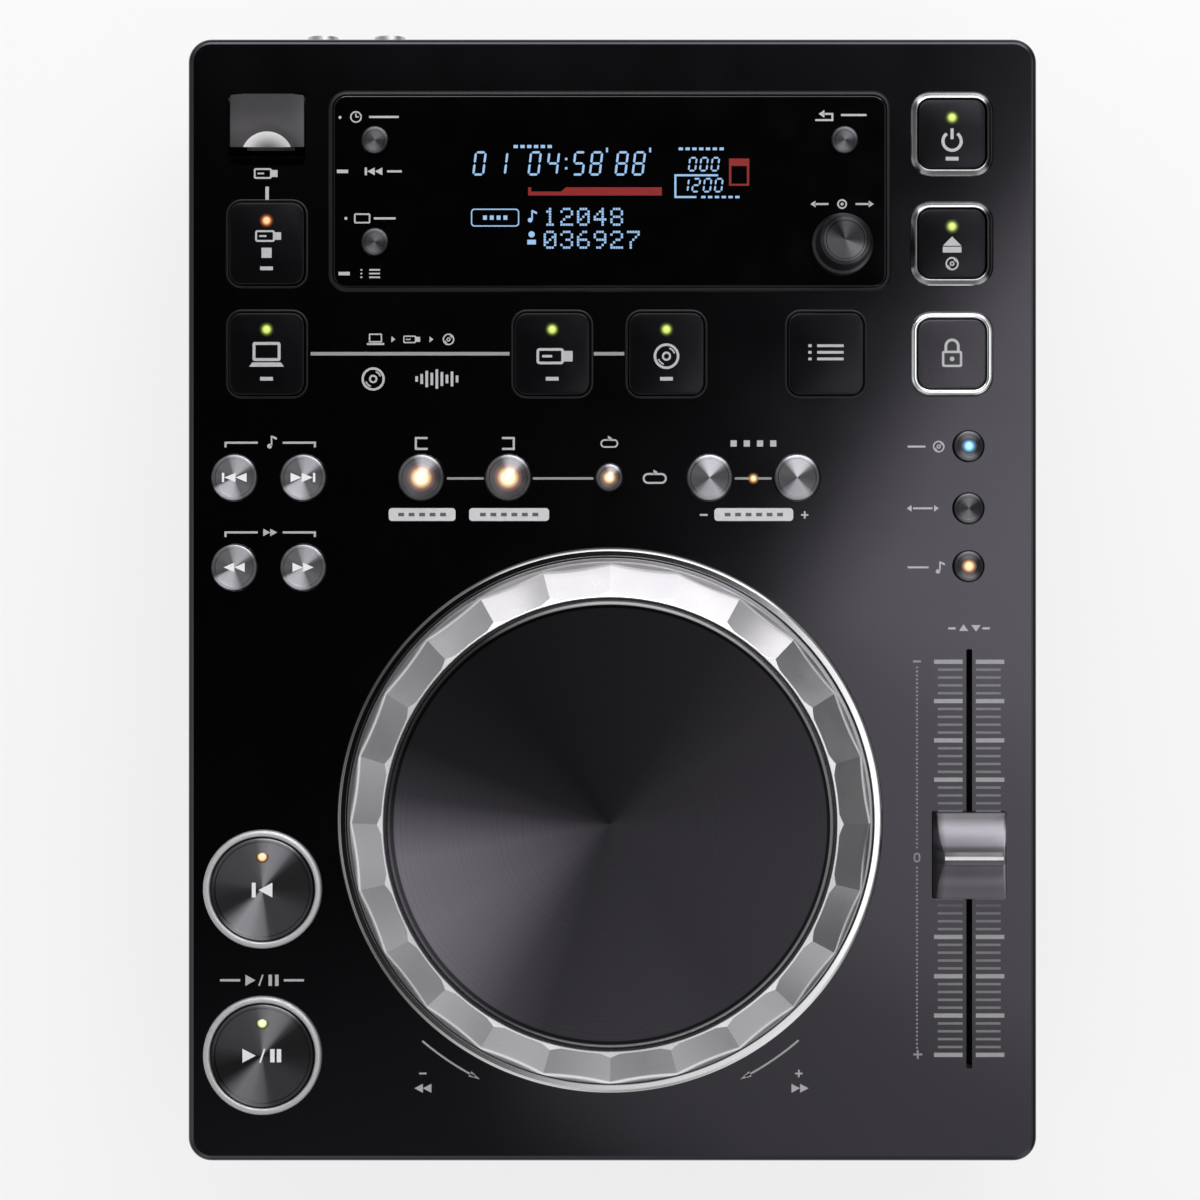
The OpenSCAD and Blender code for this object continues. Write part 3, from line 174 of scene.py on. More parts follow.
def add_piece(name, bm, finish, body, at=(0, 0, 0), sharp=32, stands_for=None):
    """Piece from a bmesh in millimetres about the point "at"; edges over "sharp" degrees stay crisp."""
    bmesh.ops.remove_doubles(bm, verts=bm.verts, dist=1e-4)
    bmesh.ops.recalc_face_normals(bm, faces=bm.faces)
    bmesh.ops.scale(bm, vec=(MM, MM, MM), verts=bm.verts)
    mesh = bpy.data.meshes.new(name)
    bm.to_mesh(mesh)
    bm.free()
    mesh.materials.append(finish.material)
    mesh.shade_smooth()
    mesh.set_sharp_from_angle(angle=math.radians(sharp))
    obj = bpy.data.objects.new(name, mesh)
    bpy.context.scene.collection.objects.link(obj)
    obj.location = Vector(at) * MM
    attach(obj, body)
    if stands_for:
        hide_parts(stands_for)


def skin(bm, loops, ring=False):
    """Skin over a stack of closed loops of equal length; "ring" joins the last to the first."""
    rows = [[bm.verts.new(p) for p in loop] for loop in loops]
    pairs = list(zip(rows, rows[1:])) + ([(rows[-1], rows[0])] if ring else [])
    for low, high in pairs:
        for i in range(len(low)):
            j = (i + 1) % len(low)
            bm.faces.new((low[i], low[j], high[j], high[i]))
    if not ring:
        bm.faces.new(rows[0][::-1])
        bm.faces.new(rows[-1])


def raised(points, z):
    return [(x, y, z) for x, y in points]


def prism(bm, outline, low, high):
    skin(bm, [raised(outline, low), raised(outline, high)])


def frame_prism(bm, outer, inner, low, high):
    skin(bm, [raised(outer, low), raised(outer, high), raised(inner, high), raised(inner, low)], ring=True)


def lathe(bm, profile, n=96, ring=False):
    """Turned solid from (radius, height) points."""
    skin(bm, [raised(circle(max(r, 1e-5), n=n), z) for r, z in profile], ring=ring)


def bead(bm, w, d, r, at, z, profile):
    """Raised band round a rounded opening; the profile is (distance out, height) points."""
    loops = [raised(rounded(w + 2 * out, d + 2 * out, r + out, at), z + h) for out, h in profile]
    skin(bm, loops, ring=True)


def soft_edge(w, d, r, soft, top, steps=5):
    """Loops of a slab's rounded upper edge, from its side to its face."""
    loops = []
    for i in range(steps + 1):
        a = math.radians(90 * i / steps)
        cut = soft * (1 - math.cos(a))
        loops.append(raised(rounded(w - 2 * cut, d - 2 * cut, r - cut), top - soft + soft * math.sin(a)))
    return loops


def onwards(start, end, n):
    """The n numbers that lead from the start, which is left out, to the end."""
    return [start + (end - start) * k / n for k in range(1, n + 1)]


class Ink:
    """Flat shapes of one colour on one face, gathered into one thin raised piece.

    The pen is the place, turn and size at which shapes are drawn.
    """

    def __init__(self, name, z, finish, body="case", at=(0, 0), pen=(0, 0)):
        self.bm = bmesh.new()
        self.name, self.z, self.finish, self.body, self.at = name, z, finish, body, at
        self.pen = (pen, 0, 1)

    def area(self, outline):
        prism(self.bm, moved(outline, *self.pen), self.z - SUNK, self.z + INK)

    def hollow(self, outer, inner):
        frame_prism(self.bm, moved(outer, *self.pen), moved(inner, *self.pen), self.z - SUNK, self.z + INK)

    def box(self, w, h, r, inner, at=(0, 0)):
        """Outline of a rounded box; "inner" is the width, height and corner radius of its inside."""
        self.hollow(rounded(w, h, r, at), rounded(*inner, at))

    def stroke(self, points, width):
        left, right = ribbon(points, width)
        self.area(right + left[::-1])

    def dash(self, start, end, f, width):
        self.stroke([(start, f), (end, f)], width)

    def ring(self, r, width, at=(0, 0), n=48):
        self.hollow(circle(r, at, n), circle(r - width, at, n))

    def dot(self, r, at=(0, 0), n=20):
        self.area(circle(r, at, n))

    def bar(self, w, h, at=(0, 0)):
        self.area(rect(w, h, at))

    def row(self, n, pitch, w, h, at):
        """Bars in a row, with the first at that place."""
        for k in range(n):
            self.bar(w, h, (at[0] + pitch * k, at[1]))

    def put(self, mark, at=(0, 0), *sizes, turn=0, size=1):
        """Draws a mark about that place."""
        kept = self.pen
        self.pen = (moved([at], *kept)[0], kept[1] + turn, kept[2] * size)
        mark(self, *sizes)
        self.pen = kept

    def done(self):
        add_piece(self.name, self.bm, self.finish, self.body, (*self.at, 0))


# ---- Materials ----

class Nodes:
    """Short forms for the nodes of a material or the world."""

    def __init__(self, tree):
        self.tree = tree

    def feed(self, socket, value):
        """Sets an input to a constant, or links it to another node."""
        if isinstance(value, bpy.types.NodeSocket):
            self.tree.links.new(value, socket)
        else:
            socket.default_value = value

    def node(self, kind, inputs=None, **settings):
        made = self.tree.nodes.new("ShaderNode" + kind)
        for key, value in settings.items():
            setattr(made, key, value)
        for key, value in (inputs or {}).items():
            self.feed(made.inputs[key], value)
        return made

    def math(self, operation, *values):
        return self.node("Math", dict(enumerate(values)), operation=operation).outputs[0]

    def vector(self, operation, *values):
        made = self.node("VectorMath", dict(enumerate(values)), operation=operation)
        return made.outputs["Value" if operation == "LENGTH" else "Vector"]

    def axis(self, source, name):
        return self.node("SeparateXYZ", {0: source}).outputs[name]

    def mix(self, factor, a, b, blend="MIX"):
        made = self.node("Mix", {"Factor": factor, "A": a, "B": b}, data_type="RGBA", blend_type=blend)
        return made.outputs["Result"]

    def map_range(self, source, from_min, from_max, to_min, to_max):
        made = self.node("MapRange", {"Value": source, "From Min": from_min, "From Max": from_max,
                                      "To Min": to_min, "To Max": to_max})
        return made.outputs[0]

    def ramp(self, source, stops):
        """Colours by (position from 0 to 1, colour or level) stops."""
        made = self.node("ValToRGB", {0: source})
        elements = made.color_ramp.elements
        while len(elements) < len(stops):
            elements.new(0.5)
        for element, (place, shade) in zip(elements, stops):
            element.position = place
            element.color = (*(shade if isinstance(shade, tuple) else (shade,) * 3), 1)
        return made.outputs[0]

    def seen(self, ray):
        """1 on rays from the camera and on that other kind of ray, else 0."""
        path = self.node("LightPath").outputs
        return self.math("MAXIMUM", path["Is Camera Ray"], path[ray])


def scaled(color, factor):
    return (*[min(1, c * factor) for c in color], 1)


class Finish(Nodes):
    """Material round one Principled shader, with helpers for its patterns."""

    def __init__(self, name, color, roughness, metallic=0.0, **values):
        self.material = bpy.data.materials.new(name)
        self.material.use_nodes = True
        super().__init__(self.material.node_tree)
        self.sockets = self.tree.nodes["Principled BSDF"].inputs
        self.color, self.roughness = color, roughness
        self.set(Base_Color=(*color, 1), Roughness=roughness, Metallic=metallic, **values)

    def set(self, **values):
        """Sets or links inputs of the shader, whose names have _ for a space here."""
        for key, value in values.items():
            self.feed(self.sockets[key.replace("_", " ")], value)
        return self

    def base(self):
        """What feeds the base colour so far."""
        return self.sockets["Base Color"].links[0].from_socket

    def place(self, kind="Object"):
        return self.node("TexCoord").outputs[kind]

    def noise(self, per_mm, detail=3.0):
        """Noise whose features are about 1 / per_mm millimetres."""
        made = self.node("TexNoise", {"Vector": self.place(), "Scale": per_mm / MM, "Detail": detail})
        return made.outputs["Fac"]

    def spread(self, source, low, high):
        """Stretches a noise, which stays near its middle, over a range."""
        return self.map_range(source, 0.3, 0.7, low, high)

    def mottle(self, source, depth):
        """Varies the base colour by that share."""
        darker, lighter = scaled(self.color, 1 - depth), scaled(self.color, 1 + depth)
        return self.set(Base_Color=self.mix(self.spread(source, 0, 1), darker, lighter))

    def rough(self, source, depth):
        return self.set(Roughness=self.spread(source, self.roughness - depth, self.roughness + depth))

    def bump(self, source, height):
        """Bump of that height in millimetres."""
        made = self.node("Bump", {"Strength": 1.0, "Distance": height * MM, "Height": source})
        return self.set(Normal=made.outputs[0])

    def radius(self, width):
        """Distance in millimetres from the middle of an object that is that wide."""
        away = self.vector("SUBTRACT", self.place("Generated"), (0.5, 0.5, 0))
        return self.vector("LENGTH", self.vector("MULTIPLY", away, (width, width, 0)))

    def by_distance(self, distance, stops):
        """Colours by (millimetres, colour or level) stops."""
        reach = stops[-1][0]
        share = self.math("DIVIDE", distance, reach)
        return self.ramp(share, [(place / reach, shade) for place, shade in stops])

    def by_angle(self, stops):
        """Colours round the middle by (degrees from -180 to 180, colour or level) stops."""
        x, y = [self.math("SUBTRACT", self.axis(self.place("Generated"), axis), 0.5) for axis in "XY"]
        turn = self.math("ADD", self.math("DIVIDE", self.math("ARCTAN2", y, x), 2 * math.pi), 0.5)
        return self.ramp(turn, [((a + 180) / 360, shade) for a, shade in stops])

    def along(self, axis, stops):
        """Colours along one side of the object's box by (share of it, colour or level) stops."""
        return self.ramp(self.axis(self.place("Generated"), axis), stops)

    def scale_color(self, factor):
        return self.set(Base_Color=self.vector("MULTIPLY", self.base(), factor))

    def add_color(self, more):
        return self.set(Base_Color=self.vector("ADD", self.base(), more))

    def spun(self, width, per_mm, depth):
        """Fine turning marks about the middle, brushed round it."""
        marks = self.node("TexNoise", {"W": self.radius(width), "Scale": per_mm, "Detail": 2.0},
                          noise_dimensions="1D")
        tangent = self.node("Tangent", direction_type="RADIAL", axis="Z")
        return self.set(Tangent=tangent.outputs[0]).mottle(marks.outputs["Fac"], depth)

    def glow(self, distance, stops, strength):
        """Light that changes with the distance, through (millimetres, colour) stops."""
        return self.set(Emission_Color=self.by_distance(distance, stops), Emission_Strength=strength)


WARM_TINT = (1.0, 0.94, 1.10, 1.0)
COOL_TINT = (1.0, 0.98, 1.03, 1.0)


def satin_black(name, shade, roughness, grain=0.004, ior=1.5, tint=COOL_TINT):
    """Moulded or painted black with a fine grain."""
    made = Finish(name, (shade, shade, shade * 1.08), roughness, IOR=ior, Specular_Tint=tint)
    made.rough(made.noise(0.05), 0.01).mottle(made.noise(0.4), 0.15)
    return made.bump(made.noise(6.0), grain)


def key_gloss(name, shade, roughness=0.16, ior=1.5):
    """Smooth glossy plastic."""
    made = Finish(name, (shade, shade * 0.93, shade * 1.06), roughness, IOR=ior, Specular_Tint=WARM_TINT)
    return made.rough(made.noise(0.1), 0.02).mottle(made.noise(0.3), 0.08)


def metal(name, color, roughness, depth=0.06):
    made = Finish(name, color, roughness, 1.0)
    return made.mottle(made.noise(1.5), depth).rough(made.noise(0.3), roughness * 0.2)


def mottled(name, color, roughness, per_mm=0.8, depth=0.05):
    """Plain plastic or paint whose colour varies a little."""
    made = Finish(name, color, roughness)
    return made.mottle(made.noise(per_mm), depth)


def print_white(name, shade):
    return mottled(name, (shade, shade * 0.98, min(1, shade * 1.02)), 0.5, depth=0.04)


def board(name, color):
    """Circuit board under lacquer, with lighter traces."""
    made = Finish(name, color, 0.38, Coat_Weight=0.4)
    traces = made.node("TexBrick", {
        "Vector": made.place(), "Scale": 160.0, "Color1": (*color, 1), "Color2": scaled(color, 0.8),
        "Mortar": scaled(color, 2.2), "Mortar Size": 0.05})
    return made.set(Base_Color=traces.outputs["Color"])


def lit(name, color, strength, base=0.02):
    """Lit figures of the display, a little uneven."""
    made = Finish(name, (base, base, base), 0.25, Emission_Strength=strength)
    share = made.spread(made.noise(0.6), 0, 1)
    return made.set(Emission_Color=made.mix(share, scaled(color, 0.9), (*color, 1)))


def silver_paint():
    """Metal flakes under a clear coat, with painted shade on the slope of the scoops and on the wheel's low
    flange.
    """
    made = Finish("silver_paint", (0.92, 0.90, 0.94), 0.30, 0.92, Coat_Weight=0.35, Coat_Roughness=0.12)
    made.mottle(made.noise(5.0, detail=1.0), 0.07)
    # Painted shade: faces tilted about 26 to 37 degrees from up, the slopes of the scoops, are darkened.
    level = made.axis(made.node("NewGeometry").outputs["Normal"], "Z")
    made.scale_color(made.ramp(level, ((0, 1), (0.70, 1), (0.80, 0.58), (0.90, 0.58), (0.955, 1))))
    # Painted shade: everything below the top of the flange is darkened.
    flange_top, flange_shade = FACE + 3, 0.58
    low = made.math("LESS_THAN", made.axis(made.place(), "Z"), flange_top * MM)
    made.scale_color(made.math("SUBTRACT", 1.0, made.math("MULTIPLY", low, flange_shade)))
    return made.rough(made.noise(0.15), 0.03)


def lid_grey():
    """Grey lid with painted shade that is lightest a third of the way back, and a painted highlight along the
    curved edge of its thumb notch.
    """
    made = Finish("lid_grey", (0.082, 0.077, 0.084), 0.36, 0.3)
    made.mottle(made.noise(4.0), 0.06)
    notch_y = box_mm("usb_lid")[0].y - NOTCH_BACK
    away = made.vector("SUBTRACT", made.place(), (0, notch_y * MM, 0))
    share = made.vector("LENGTH", made.vector("MULTIPLY", away, (1 / MM / NOTCH_R, 1 / MM / NOTCH_R, 0)))
    # Painted highlight: lighter colour added round the thumb notch, brightest along its curved edge.
    made.add_color(made.ramp(share, ((0, 0.16), (0.45, 0.22), (0.80, 0.85), (0.95, 1), (0.985, 1), (1, 0))))
    # Painted shade: darker at the front and the rear, lightest a third of the way back.
    made.scale_color(made.along("Y", (
        (0, 0.60), (0.12, 0.66), (0.35, 0.86), (0.55, 0.72), (0.75, 0.54), (1, 0.48))))
    return made.rough(made.noise(0.1), 0.03)


def fader_grey():
    """Grey cap with painted shade on its left flank, and painted light and shade along its hollow slopes."""
    made = Finish("fader_grey", (0.29, 0.272, 0.305), 0.34, 0.7)
    made.mottle(made.noise(4.0), 0.05)
    # Painted shade: the left flank is darkened.
    made.scale_color(made.along("X", ((0, 0.22), (0.03, 0.24), (0.08, 0.62), (0.14, 1), (1, 1))))
    # Painted light and shade along the cap from front to back, over its slopes and ridge.
    made.scale_color(made.along("Y", (
        (0, 0.70), (0.12, 0.72), (0.28, 0.92), (0.34, 0.95), (0.37, 1.10), (0.405, 1.10), (0.43, 0.65),
        (0.455, 0.42), (0.55, 0.90), (0.58, 0.58), (0.605, 0.68), (0.622, 1.0), (0.643, 1.72), (0.684, 2.02),
        (0.768, 2.15), (0.79, 1.99), (0.811, 1.62), (0.855, 0.92), (0.895, 0.61), (0.939, 0.325), (1, 0.36))))
    return made.rough(made.noise(0.1), 0.03)


def jack_finish():
    """Green board, black sockets and plated phono barrels, told apart by their place."""
    board_end = box_mm("jack_board")[0].y + 1.65
    barrels_start, barrels_side = PANEL_HIGH.y - 3, -50
    made = mottled("jack_board_finish", (0.012, 0.012, 0.013), 0.4, 1.0, 0.1)
    x, y = [made.axis(made.place(), axis) for axis in "XY"]
    behind = made.math("GREATER_THAN", y, barrels_start * MM)
    barrel = made.math("MULTIPLY", behind, made.math("LESS_THAN", x, barrels_side * MM))
    on_board = made.math("LESS_THAN", y, board_end * MM)
    shade = made.mix(on_board, made.base(), (0.02, 0.10, 0.045, 1))
    return made.set(Base_Color=made.mix(barrel, shade, (0.60, 0.60, 0.62, 1)), Metallic=barrel)


def spun_metal(node, shade, levels):
    """Turned metal face with painted highlight wedges, by (degrees, level) stops."""
    made = Finish(node + "_finish", (shade, shade * 0.975, shade * 1.05), 0.50, 1.0, Anisotropic=0.4)
    return made.spun(width_of(node), 9.0, 0.10).scale_color(made.by_angle(levels))


def plate_finish():
    """Black spun touch plate with painted light and shade round it by angle, a painted highlight wedge that
    grows towards the rim, painted shade from its groove outwards and a painted highlight on its bevel.
    """
    made = Finish("jog_plate_finish", (0.083, 0.078, 0.091), 0.36, 1.0, Anisotropic=0.5)
    width = width_of("jog_plate")
    made.spun(width, 2.5, 0.08)
    away = made.radius(width)
    # Painted light and shade round the plate by angle: a plain level, and a highlight wedge that grows
    # towards the rim.
    wedges = made.by_angle([(a, (plain, wedge, 0)) for a, plain, wedge in (
        (-180, 0.52, 0.42), (-170, 0.52, 0.89), (-150, 0.52, 0.98), (-138, 0.52, 0.76), (-120, 0.52, 0.22),
        (-108, 0.50, 0.08), (-90, 0.50, 0.08), (-72, 0.50, 0.06), (-55, 0.50, 0.02), (-5, 0.53, 0),
        (20, 0.46, 0), (32, 0.45, 0), (60, 0.28, 0), (90, 0.22, 0), (127, 0.17, 0), (158, 0.28, 0),
        (172, 0.41, 0.10), (180, 0.52, 0.42))])
    wedge_gain = 4.6 / 56
    wedge = made.math("MULTIPLY", made.axis(wedges, "Y"), made.math("MULTIPLY", away, wedge_gain))
    made.scale_color(made.math("ADD", made.axis(wedges, "X"), wedge))
    # Painted shade: darker from the groove near the edge outwards.
    made.scale_color(made.by_distance(away, ((0, 1), (54.6, 1), (54.8, 0.25), (57, 0.25))))
    # Painted highlight on the bevel, brightest towards the rear.
    bevel = made.by_distance(away, ((0, 0), (55.6, 0), (55.7, 1), (56.3, 1), (56.45, 0), (57, 0)))
    bevel_highlight = made.by_angle(((-180, 0.02), (-120, 0.04), (-100, 0.16), (-75, 0.22), (-45, 0.26), (0, 0.34),
                            (45, 0.42), (75, 0.70), (95, 0.80), (110, 0.35), (125, 0.04), (180, 0.02)))
    return made.add_color(made.math("MULTIPLY", bevel, bevel_highlight))


PANEL_BLACK = satin_black("panel_black", 0.0006, 0.125, 0.0006, 1.60, WARM_TINT)
CABINET_BLACK = satin_black("cabinet_black", 0.010, 0.38, 0.012)
FRONT_BLACK = satin_black("front_black", 0.007, 0.24)
STEEL_BLACK = satin_black("steel_black", 0.014, 0.52, 0.02)
SOCKET_BLACK = satin_black("socket_black", 0.012, 0.45, 0.01)
FOOT_RUBBER = satin_black("foot_rubber", 0.012, 0.75, 0.03)
SLED_BLACK = satin_black("sled_black", 0.03, 0.5, 0.01)
ROLLER_RUBBER = satin_black("roller_rubber", 0.02, 0.7, 0.02)
KEY_LIP = satin_black("key_lip", 0.002, 0.34, ior=1.35)
BEZEL = satin_black("bezel_black", 0.003, 0.36, ior=1.38)
KEY_BLACK = key_gloss("key_black", 0.0012, 0.24, 1.3)
KEY_SMOKE = key_gloss("key_smoke", 0.026, 0.28)
WINDOW = key_gloss("smoked_window", 0.0008, 0.09)
DISPLAY_GLASS = key_gloss("display_glass", 0.02, 0.12)
SCREW_BLACK = metal("screw_black", (0.05, 0.05, 0.052), 0.4)
CHROME = metal("chrome", (0.86, 0.86, 0.88), 0.12, 0.02)
STEEL = metal("bright_steel", (0.58, 0.59, 0.61), 0.34)
RING_METAL = metal("ring_metal", (0.66, 0.65, 0.67), 0.55, 0.03)
SILVER = silver_paint()
LID_GREY = lid_grey()
FADER_GREY = fader_grey()
ACETAL = mottled("white_acetal", (0.74, 0.72, 0.66), 0.42, 0.2)
COLLAR_RED = mottled("collar_red", (0.45, 0.02, 0.015), 0.35)
COLLAR_WHITE = print_white("collar_white", 0.7)
BRIGHT_WHITE = print_white("print_bright", 0.92)
PILL_LIGHT = print_white("pill_light", 0.64)
WHITE = print_white("print_white", 0.48)
MAJOR_GREY = print_white("print_major", 0.37)
GREY = print_white("print_grey", 0.30)
DIM_GREY = print_white("print_dim", 0.20)
PILL_DARK = print_white("pill_dark", 0.10)
BOARD_GREEN = board("board_green", (0.02, 0.10, 0.045))
BOARD_BROWN = board("board_brown", (0.22, 0.13, 0.05))
DISPLAY_BLUE = lit("display_blue", (0.35, 0.60, 0.94), 0.95)
DISPLAY_RED = lit("display_red", (0.27, 0.012, 0.010), 0.95, 0.004)

LIGHTS = {  # core, body and rim colour of each kind of lamp
    "green": ((0.80, 0.90, 0.24), (0.50, 0.68, 0.08), (0.05, 0.09, 0.0)),
    "orange": ((1.0, 0.72, 0.36), (0.95, 0.30, 0.08), (0.16, 0.03, 0.0)),
    "amber": ((1.0, 0.90, 0.62), (1.0, 0.60, 0.22), (0.30, 0.10, 0.02)),
    "lime": ((1.0, 1.0, 0.72), (0.85, 0.90, 0.35), (0.14, 0.20, 0.03)),
    "blue": ((0.55, 0.92, 1.0), (0.16, 0.62, 0.95), (0.01, 0.12, 0.25)),
}

# Painted highlight and shade by angle for the turned keys, the selector knob and the wheel's trim ring:
# (degrees, level) stops

FAN_SEARCH = (
    (-180, 0.165), (-157, 0.12), (-146, 0.84), (-120, 1.0), (-100, 0.96), (-86, 0.74), (-75, 0.48),
    (-66, 0.22), (-40, 0.22), (-20, 0.155), (0, 0.148), (22, 0.135), (32, 0.30), (40, 0.72), (52, 0.90),
    (80, 0.84), (90, 0.68), (100, 0.56), (110, 0.25), (140, 0.22), (160, 0.15), (180, 0.165)
)
FAN_BEAT = (
    (-180, 0.10), (-146, 0.09), (-130, 0.26), (-118, 0.45), (-100, 0.54), (-60, 0.60), (-50, 0.42),
    (-40, 0.16), (-20, 0.12), (0, 0.092), (26, 0.10), (38, 0.26), (48, 0.72), (60, 0.93), (80, 1.0),
    (102, 1.0), (114, 0.78), (124, 0.46), (134, 0.14), (160, 0.13), (180, 0.10)
)
FAN_CUE = (
    (-180, 0.084), (-165, 0.062), (-150, 0.07), (-143, 0.20), (-136, 0.50), (-124, 1.0), (-108, 0.92),
    (-96, 0.68), (-86, 0.50), (-80, 0.18), (-72, 0.15), (-45, 0.14), (-30, 0.122), (-15, 0.078), (0, 0.056),
    (20, 0.056), (38, 0.07), (47, 0.20), (55, 0.60), (65, 0.76), (80, 0.82), (90, 0.60), (98, 0.30),
    (106, 0.25), (120, 0.20), (135, 0.182), (165, 0.146), (180, 0.084)
)
FAN_PLAY = [(a, level * (0.62 if -170 < a < -83 else 0.86)) for a, level in FAN_CUE]
FAN_SMALL = (
    (-180, 0.13), (-155, 0.17), (-138, 0.40), (-120, 0.62), (-90, 0.80), (-65, 0.65), (-45, 0.25),
    (-30, 0.12), (0, 0.09), (30, 0.10), (45, 0.30), (60, 0.55), (80, 0.85), (95, 0.90), (115, 0.75),
    (130, 0.45), (150, 0.20), (180, 0.13)
)
FAN_WINDOW = (
    (-180, 0.14), (-155, 0.20), (-138, 0.50), (-115, 0.70), (-90, 0.66), (-65, 0.40), (-45, 0.16),
    (-25, 0.12), (0, 0.17), (18, 0.40), (40, 0.75), (60, 0.85), (90, 0.82), (115, 0.60), (130, 0.35),
    (150, 0.22), (180, 0.14)
)
FAN_LOOP = (
    (-180, 0.13), (-150, 0.13), (-120, 0.17), (-90, 0.13), (-60, 0.10), (-30, 0.11), (0, 0.07), (25, 0.10),
    (38, 0.30), (50, 0.85), (60, 1.0), (85, 1.0), (100, 0.60), (112, 0.20), (125, 0.15), (180, 0.13)
)
FAN_SELECTOR = (
    (-180, 0.40), (-150, 0.36), (-100, 0.40), (-80, 0.50), (-62, 0.83), (-45, 0.90), (-28, 0.85),
    (-12, 0.35), (0, 0.17), (35, 0.17), (55, 0.30), (80, 0.60), (95, 0.62), (108, 0.25), (120, 0.08),
    (140, 0.12), (160, 0.30), (180, 0.40)
)
FAN_RING = (
    (-180, 0.29), (-150, 0.38), (-135, 0.48), (-110, 0.8), (-95, 1), (5, 0.98), (30, 0.72), (50, 0.72),
    (70, 0.5), (90, 0.40), (110, 0.28), (135, 0.19), (160, 0.24), (180, 0.29)
)

# Glow in the middle of the loop keys: (millimetres, colour) stops

GLOW_LARGE = ((0, (1.0, 1.0, 0.92)), (1.6, (1.0, 0.94, 0.66)), (2.2, (0.80, 0.50, 0.22)),
              (2.9, (0.20, 0.085, 0.05)), (3.8, (0.02, 0.006, 0.006)), (4.4, (0, 0, 0)))
GLOW_SMALL = ((0, (1.0, 1.0, 0.92)), (0.8, (1.0, 0.94, 0.66)), (1.2, (0.80, 0.50, 0.22)),
              (1.7, (0.20, 0.085, 0.04)), (2.5, (0, 0, 0)))
KEY_GLOW = {"loop_in_key": GLOW_LARGE, "loop_out_key": GLOW_LARGE, "loop_exit_key": GLOW_SMALL}

TURNED_KEYS = (  # keys, the shade of their metal, and its wedges
    (("track_back_key", "track_next_key", "search_back_key", "search_forward_key"), 0.72, FAN_SEARCH),
    (("beat_minus_key", "beat_plus_key"), 0.80, FAN_BEAT),
    (("cue_key",), 0.50, FAN_CUE),
    (("play_key",), 0.50, FAN_PLAY),
    (("time_mode_key", "display_mode_key", "back_key"), 0.20, FAN_WINDOW),
    (("vinyl_mode_key", "tempo_range_key", "master_tempo_key"), 0.25, FAN_SMALL),
    (("loop_in_key", "loop_out_key", "loop_exit_key"), 0.74, FAN_LOOP),
)
FRAMED_KEYS = ["power_key", "eject_key", "beat_lock_key"]
PLAIN_KEYS = ["playlist_key", "disc_source_key", "usb_source_key", "computer_source_key", "usb_stop_key"]


# ---- CAD nodes that stay ----

def dress_nodes():
    """Gives every node that isn't a key or the fader cap its finish."""
    finishes = {
        PANEL_BLACK: ["top_panel"], CABINET_BLACK: ["cabinet"], FRONT_BLACK: ["front_panel"],
        STEEL_BLACK: ["bottom_chassis", "rear_panel", "fader_case"], FOOT_RUBBER: ["rubber_feet"],
        SCREW_BLACK: ["case_screws"], WINDOW: ["display_window"], DISPLAY_GLASS: ["display_module"],
        CHROME: ["jog_trim_ring", "key_frames"], BOARD_GREEN: ["control_board", "main_board"],
        BOARD_BROWN: ["power_supply"], SOCKET_BLACK: ["power_inlet"], LID_GREY: ["usb_lid"],
        ROLLER_RUBBER: ["loading_roller"], ACETAL: ["motor_pinion", "disc_turntable"],
        SLED_BLACK: ["pickup_sled"], SILVER: ["jog_wheel"],
        STEEL: ["usb_socket", "drive_frame", "loading_motor", "spindle_motor", "guide_rods", "jog_axle",
                "clamp_arm", "fader_lever", "selector_shaft"],
        spun_metal("selector_knob", 0.17, FAN_SELECTOR): ["selector_knob"],
        plate_finish(): ["jog_plate"], jack_finish(): ["jack_board"],
    }
    for finish, nodes in finishes.items():
        for node in nodes:
            materials = NODES[node].data.materials
            materials.clear()
            materials.append(finish.material)


# ---- Keys ----

def key_cap(node, bm, finish):
    """Adds a key's stem, and puts the cap in the place of the key's plain solid."""
    x, y, _ = middle(node)
    prism(bm, circle(STEM_R, n=24), box_mm(node)[0].z, FLANGE_LOW - 0.01)
    add_piece(node + "_cap", bm, finish, BODY_OF[node], (x, y, 0), sharp=24, stands_for=node)


def square_key(node):
    """Key cap with a finely rounded edge and its flange."""
    w, d = key_body(node)
    wide = rounded(w + 2 * KEY_FLANGE, d + 2 * KEY_FLANGE, KEY_R + KEY_FLANGE)
    bm = bmesh.new()
    skin(bm, [raised(wide, FLANGE_LOW), raised(wide, FLANGE_TOP), raised(rounded(w, d, KEY_R), FLANGE_TOP)]
         + soft_edge(w, d, KEY_R, 0.4, middle(node)[2]))
    if node == "beat_lock_key":
        key_cap(node, bm, KEY_SMOKE)
    else:
        key_cap(node, bm, KEY_BLACK)


def dish_depth(node, away=0.0):
    """Depth of a turned key's dish at that distance from its middle."""
    r = key_body(node)[0] / 2
    dish_r = r - KEY_RIM
    share = min(1.0, (dish_r - away) / ((1 - DISH_FLAT) * dish_r))
    return DISH * r * (1 + (DISH_FLOOR - 1) * share)


def round_key(node, finish):
    """Turned key with a rounded rim and a shallow dish in its face."""
    r, top, round_r = key_body(node)[0] / 2, middle(node)[2], 0.45
    dish_r, floor_z = r - KEY_RIM, top - DISH * r * DISH_FLOOR
    profile = [(0, FLANGE_LOW), (r + KEY_FLANGE, FLANGE_LOW), (r + KEY_FLANGE, FLANGE_TOP), (r, FLANGE_TOP)]
    profile += arc(round_r, 0, 90, (r - round_r, top - round_r), 6)
    profile += [(dish_r + 0.2, top), (dish_r, top - DISH * r), (dish_r * DISH_FLAT, floor_z), (0, floor_z)]
    bm = bmesh.new()
    lathe(bm, profile)
    key_cap(node, bm, finish)


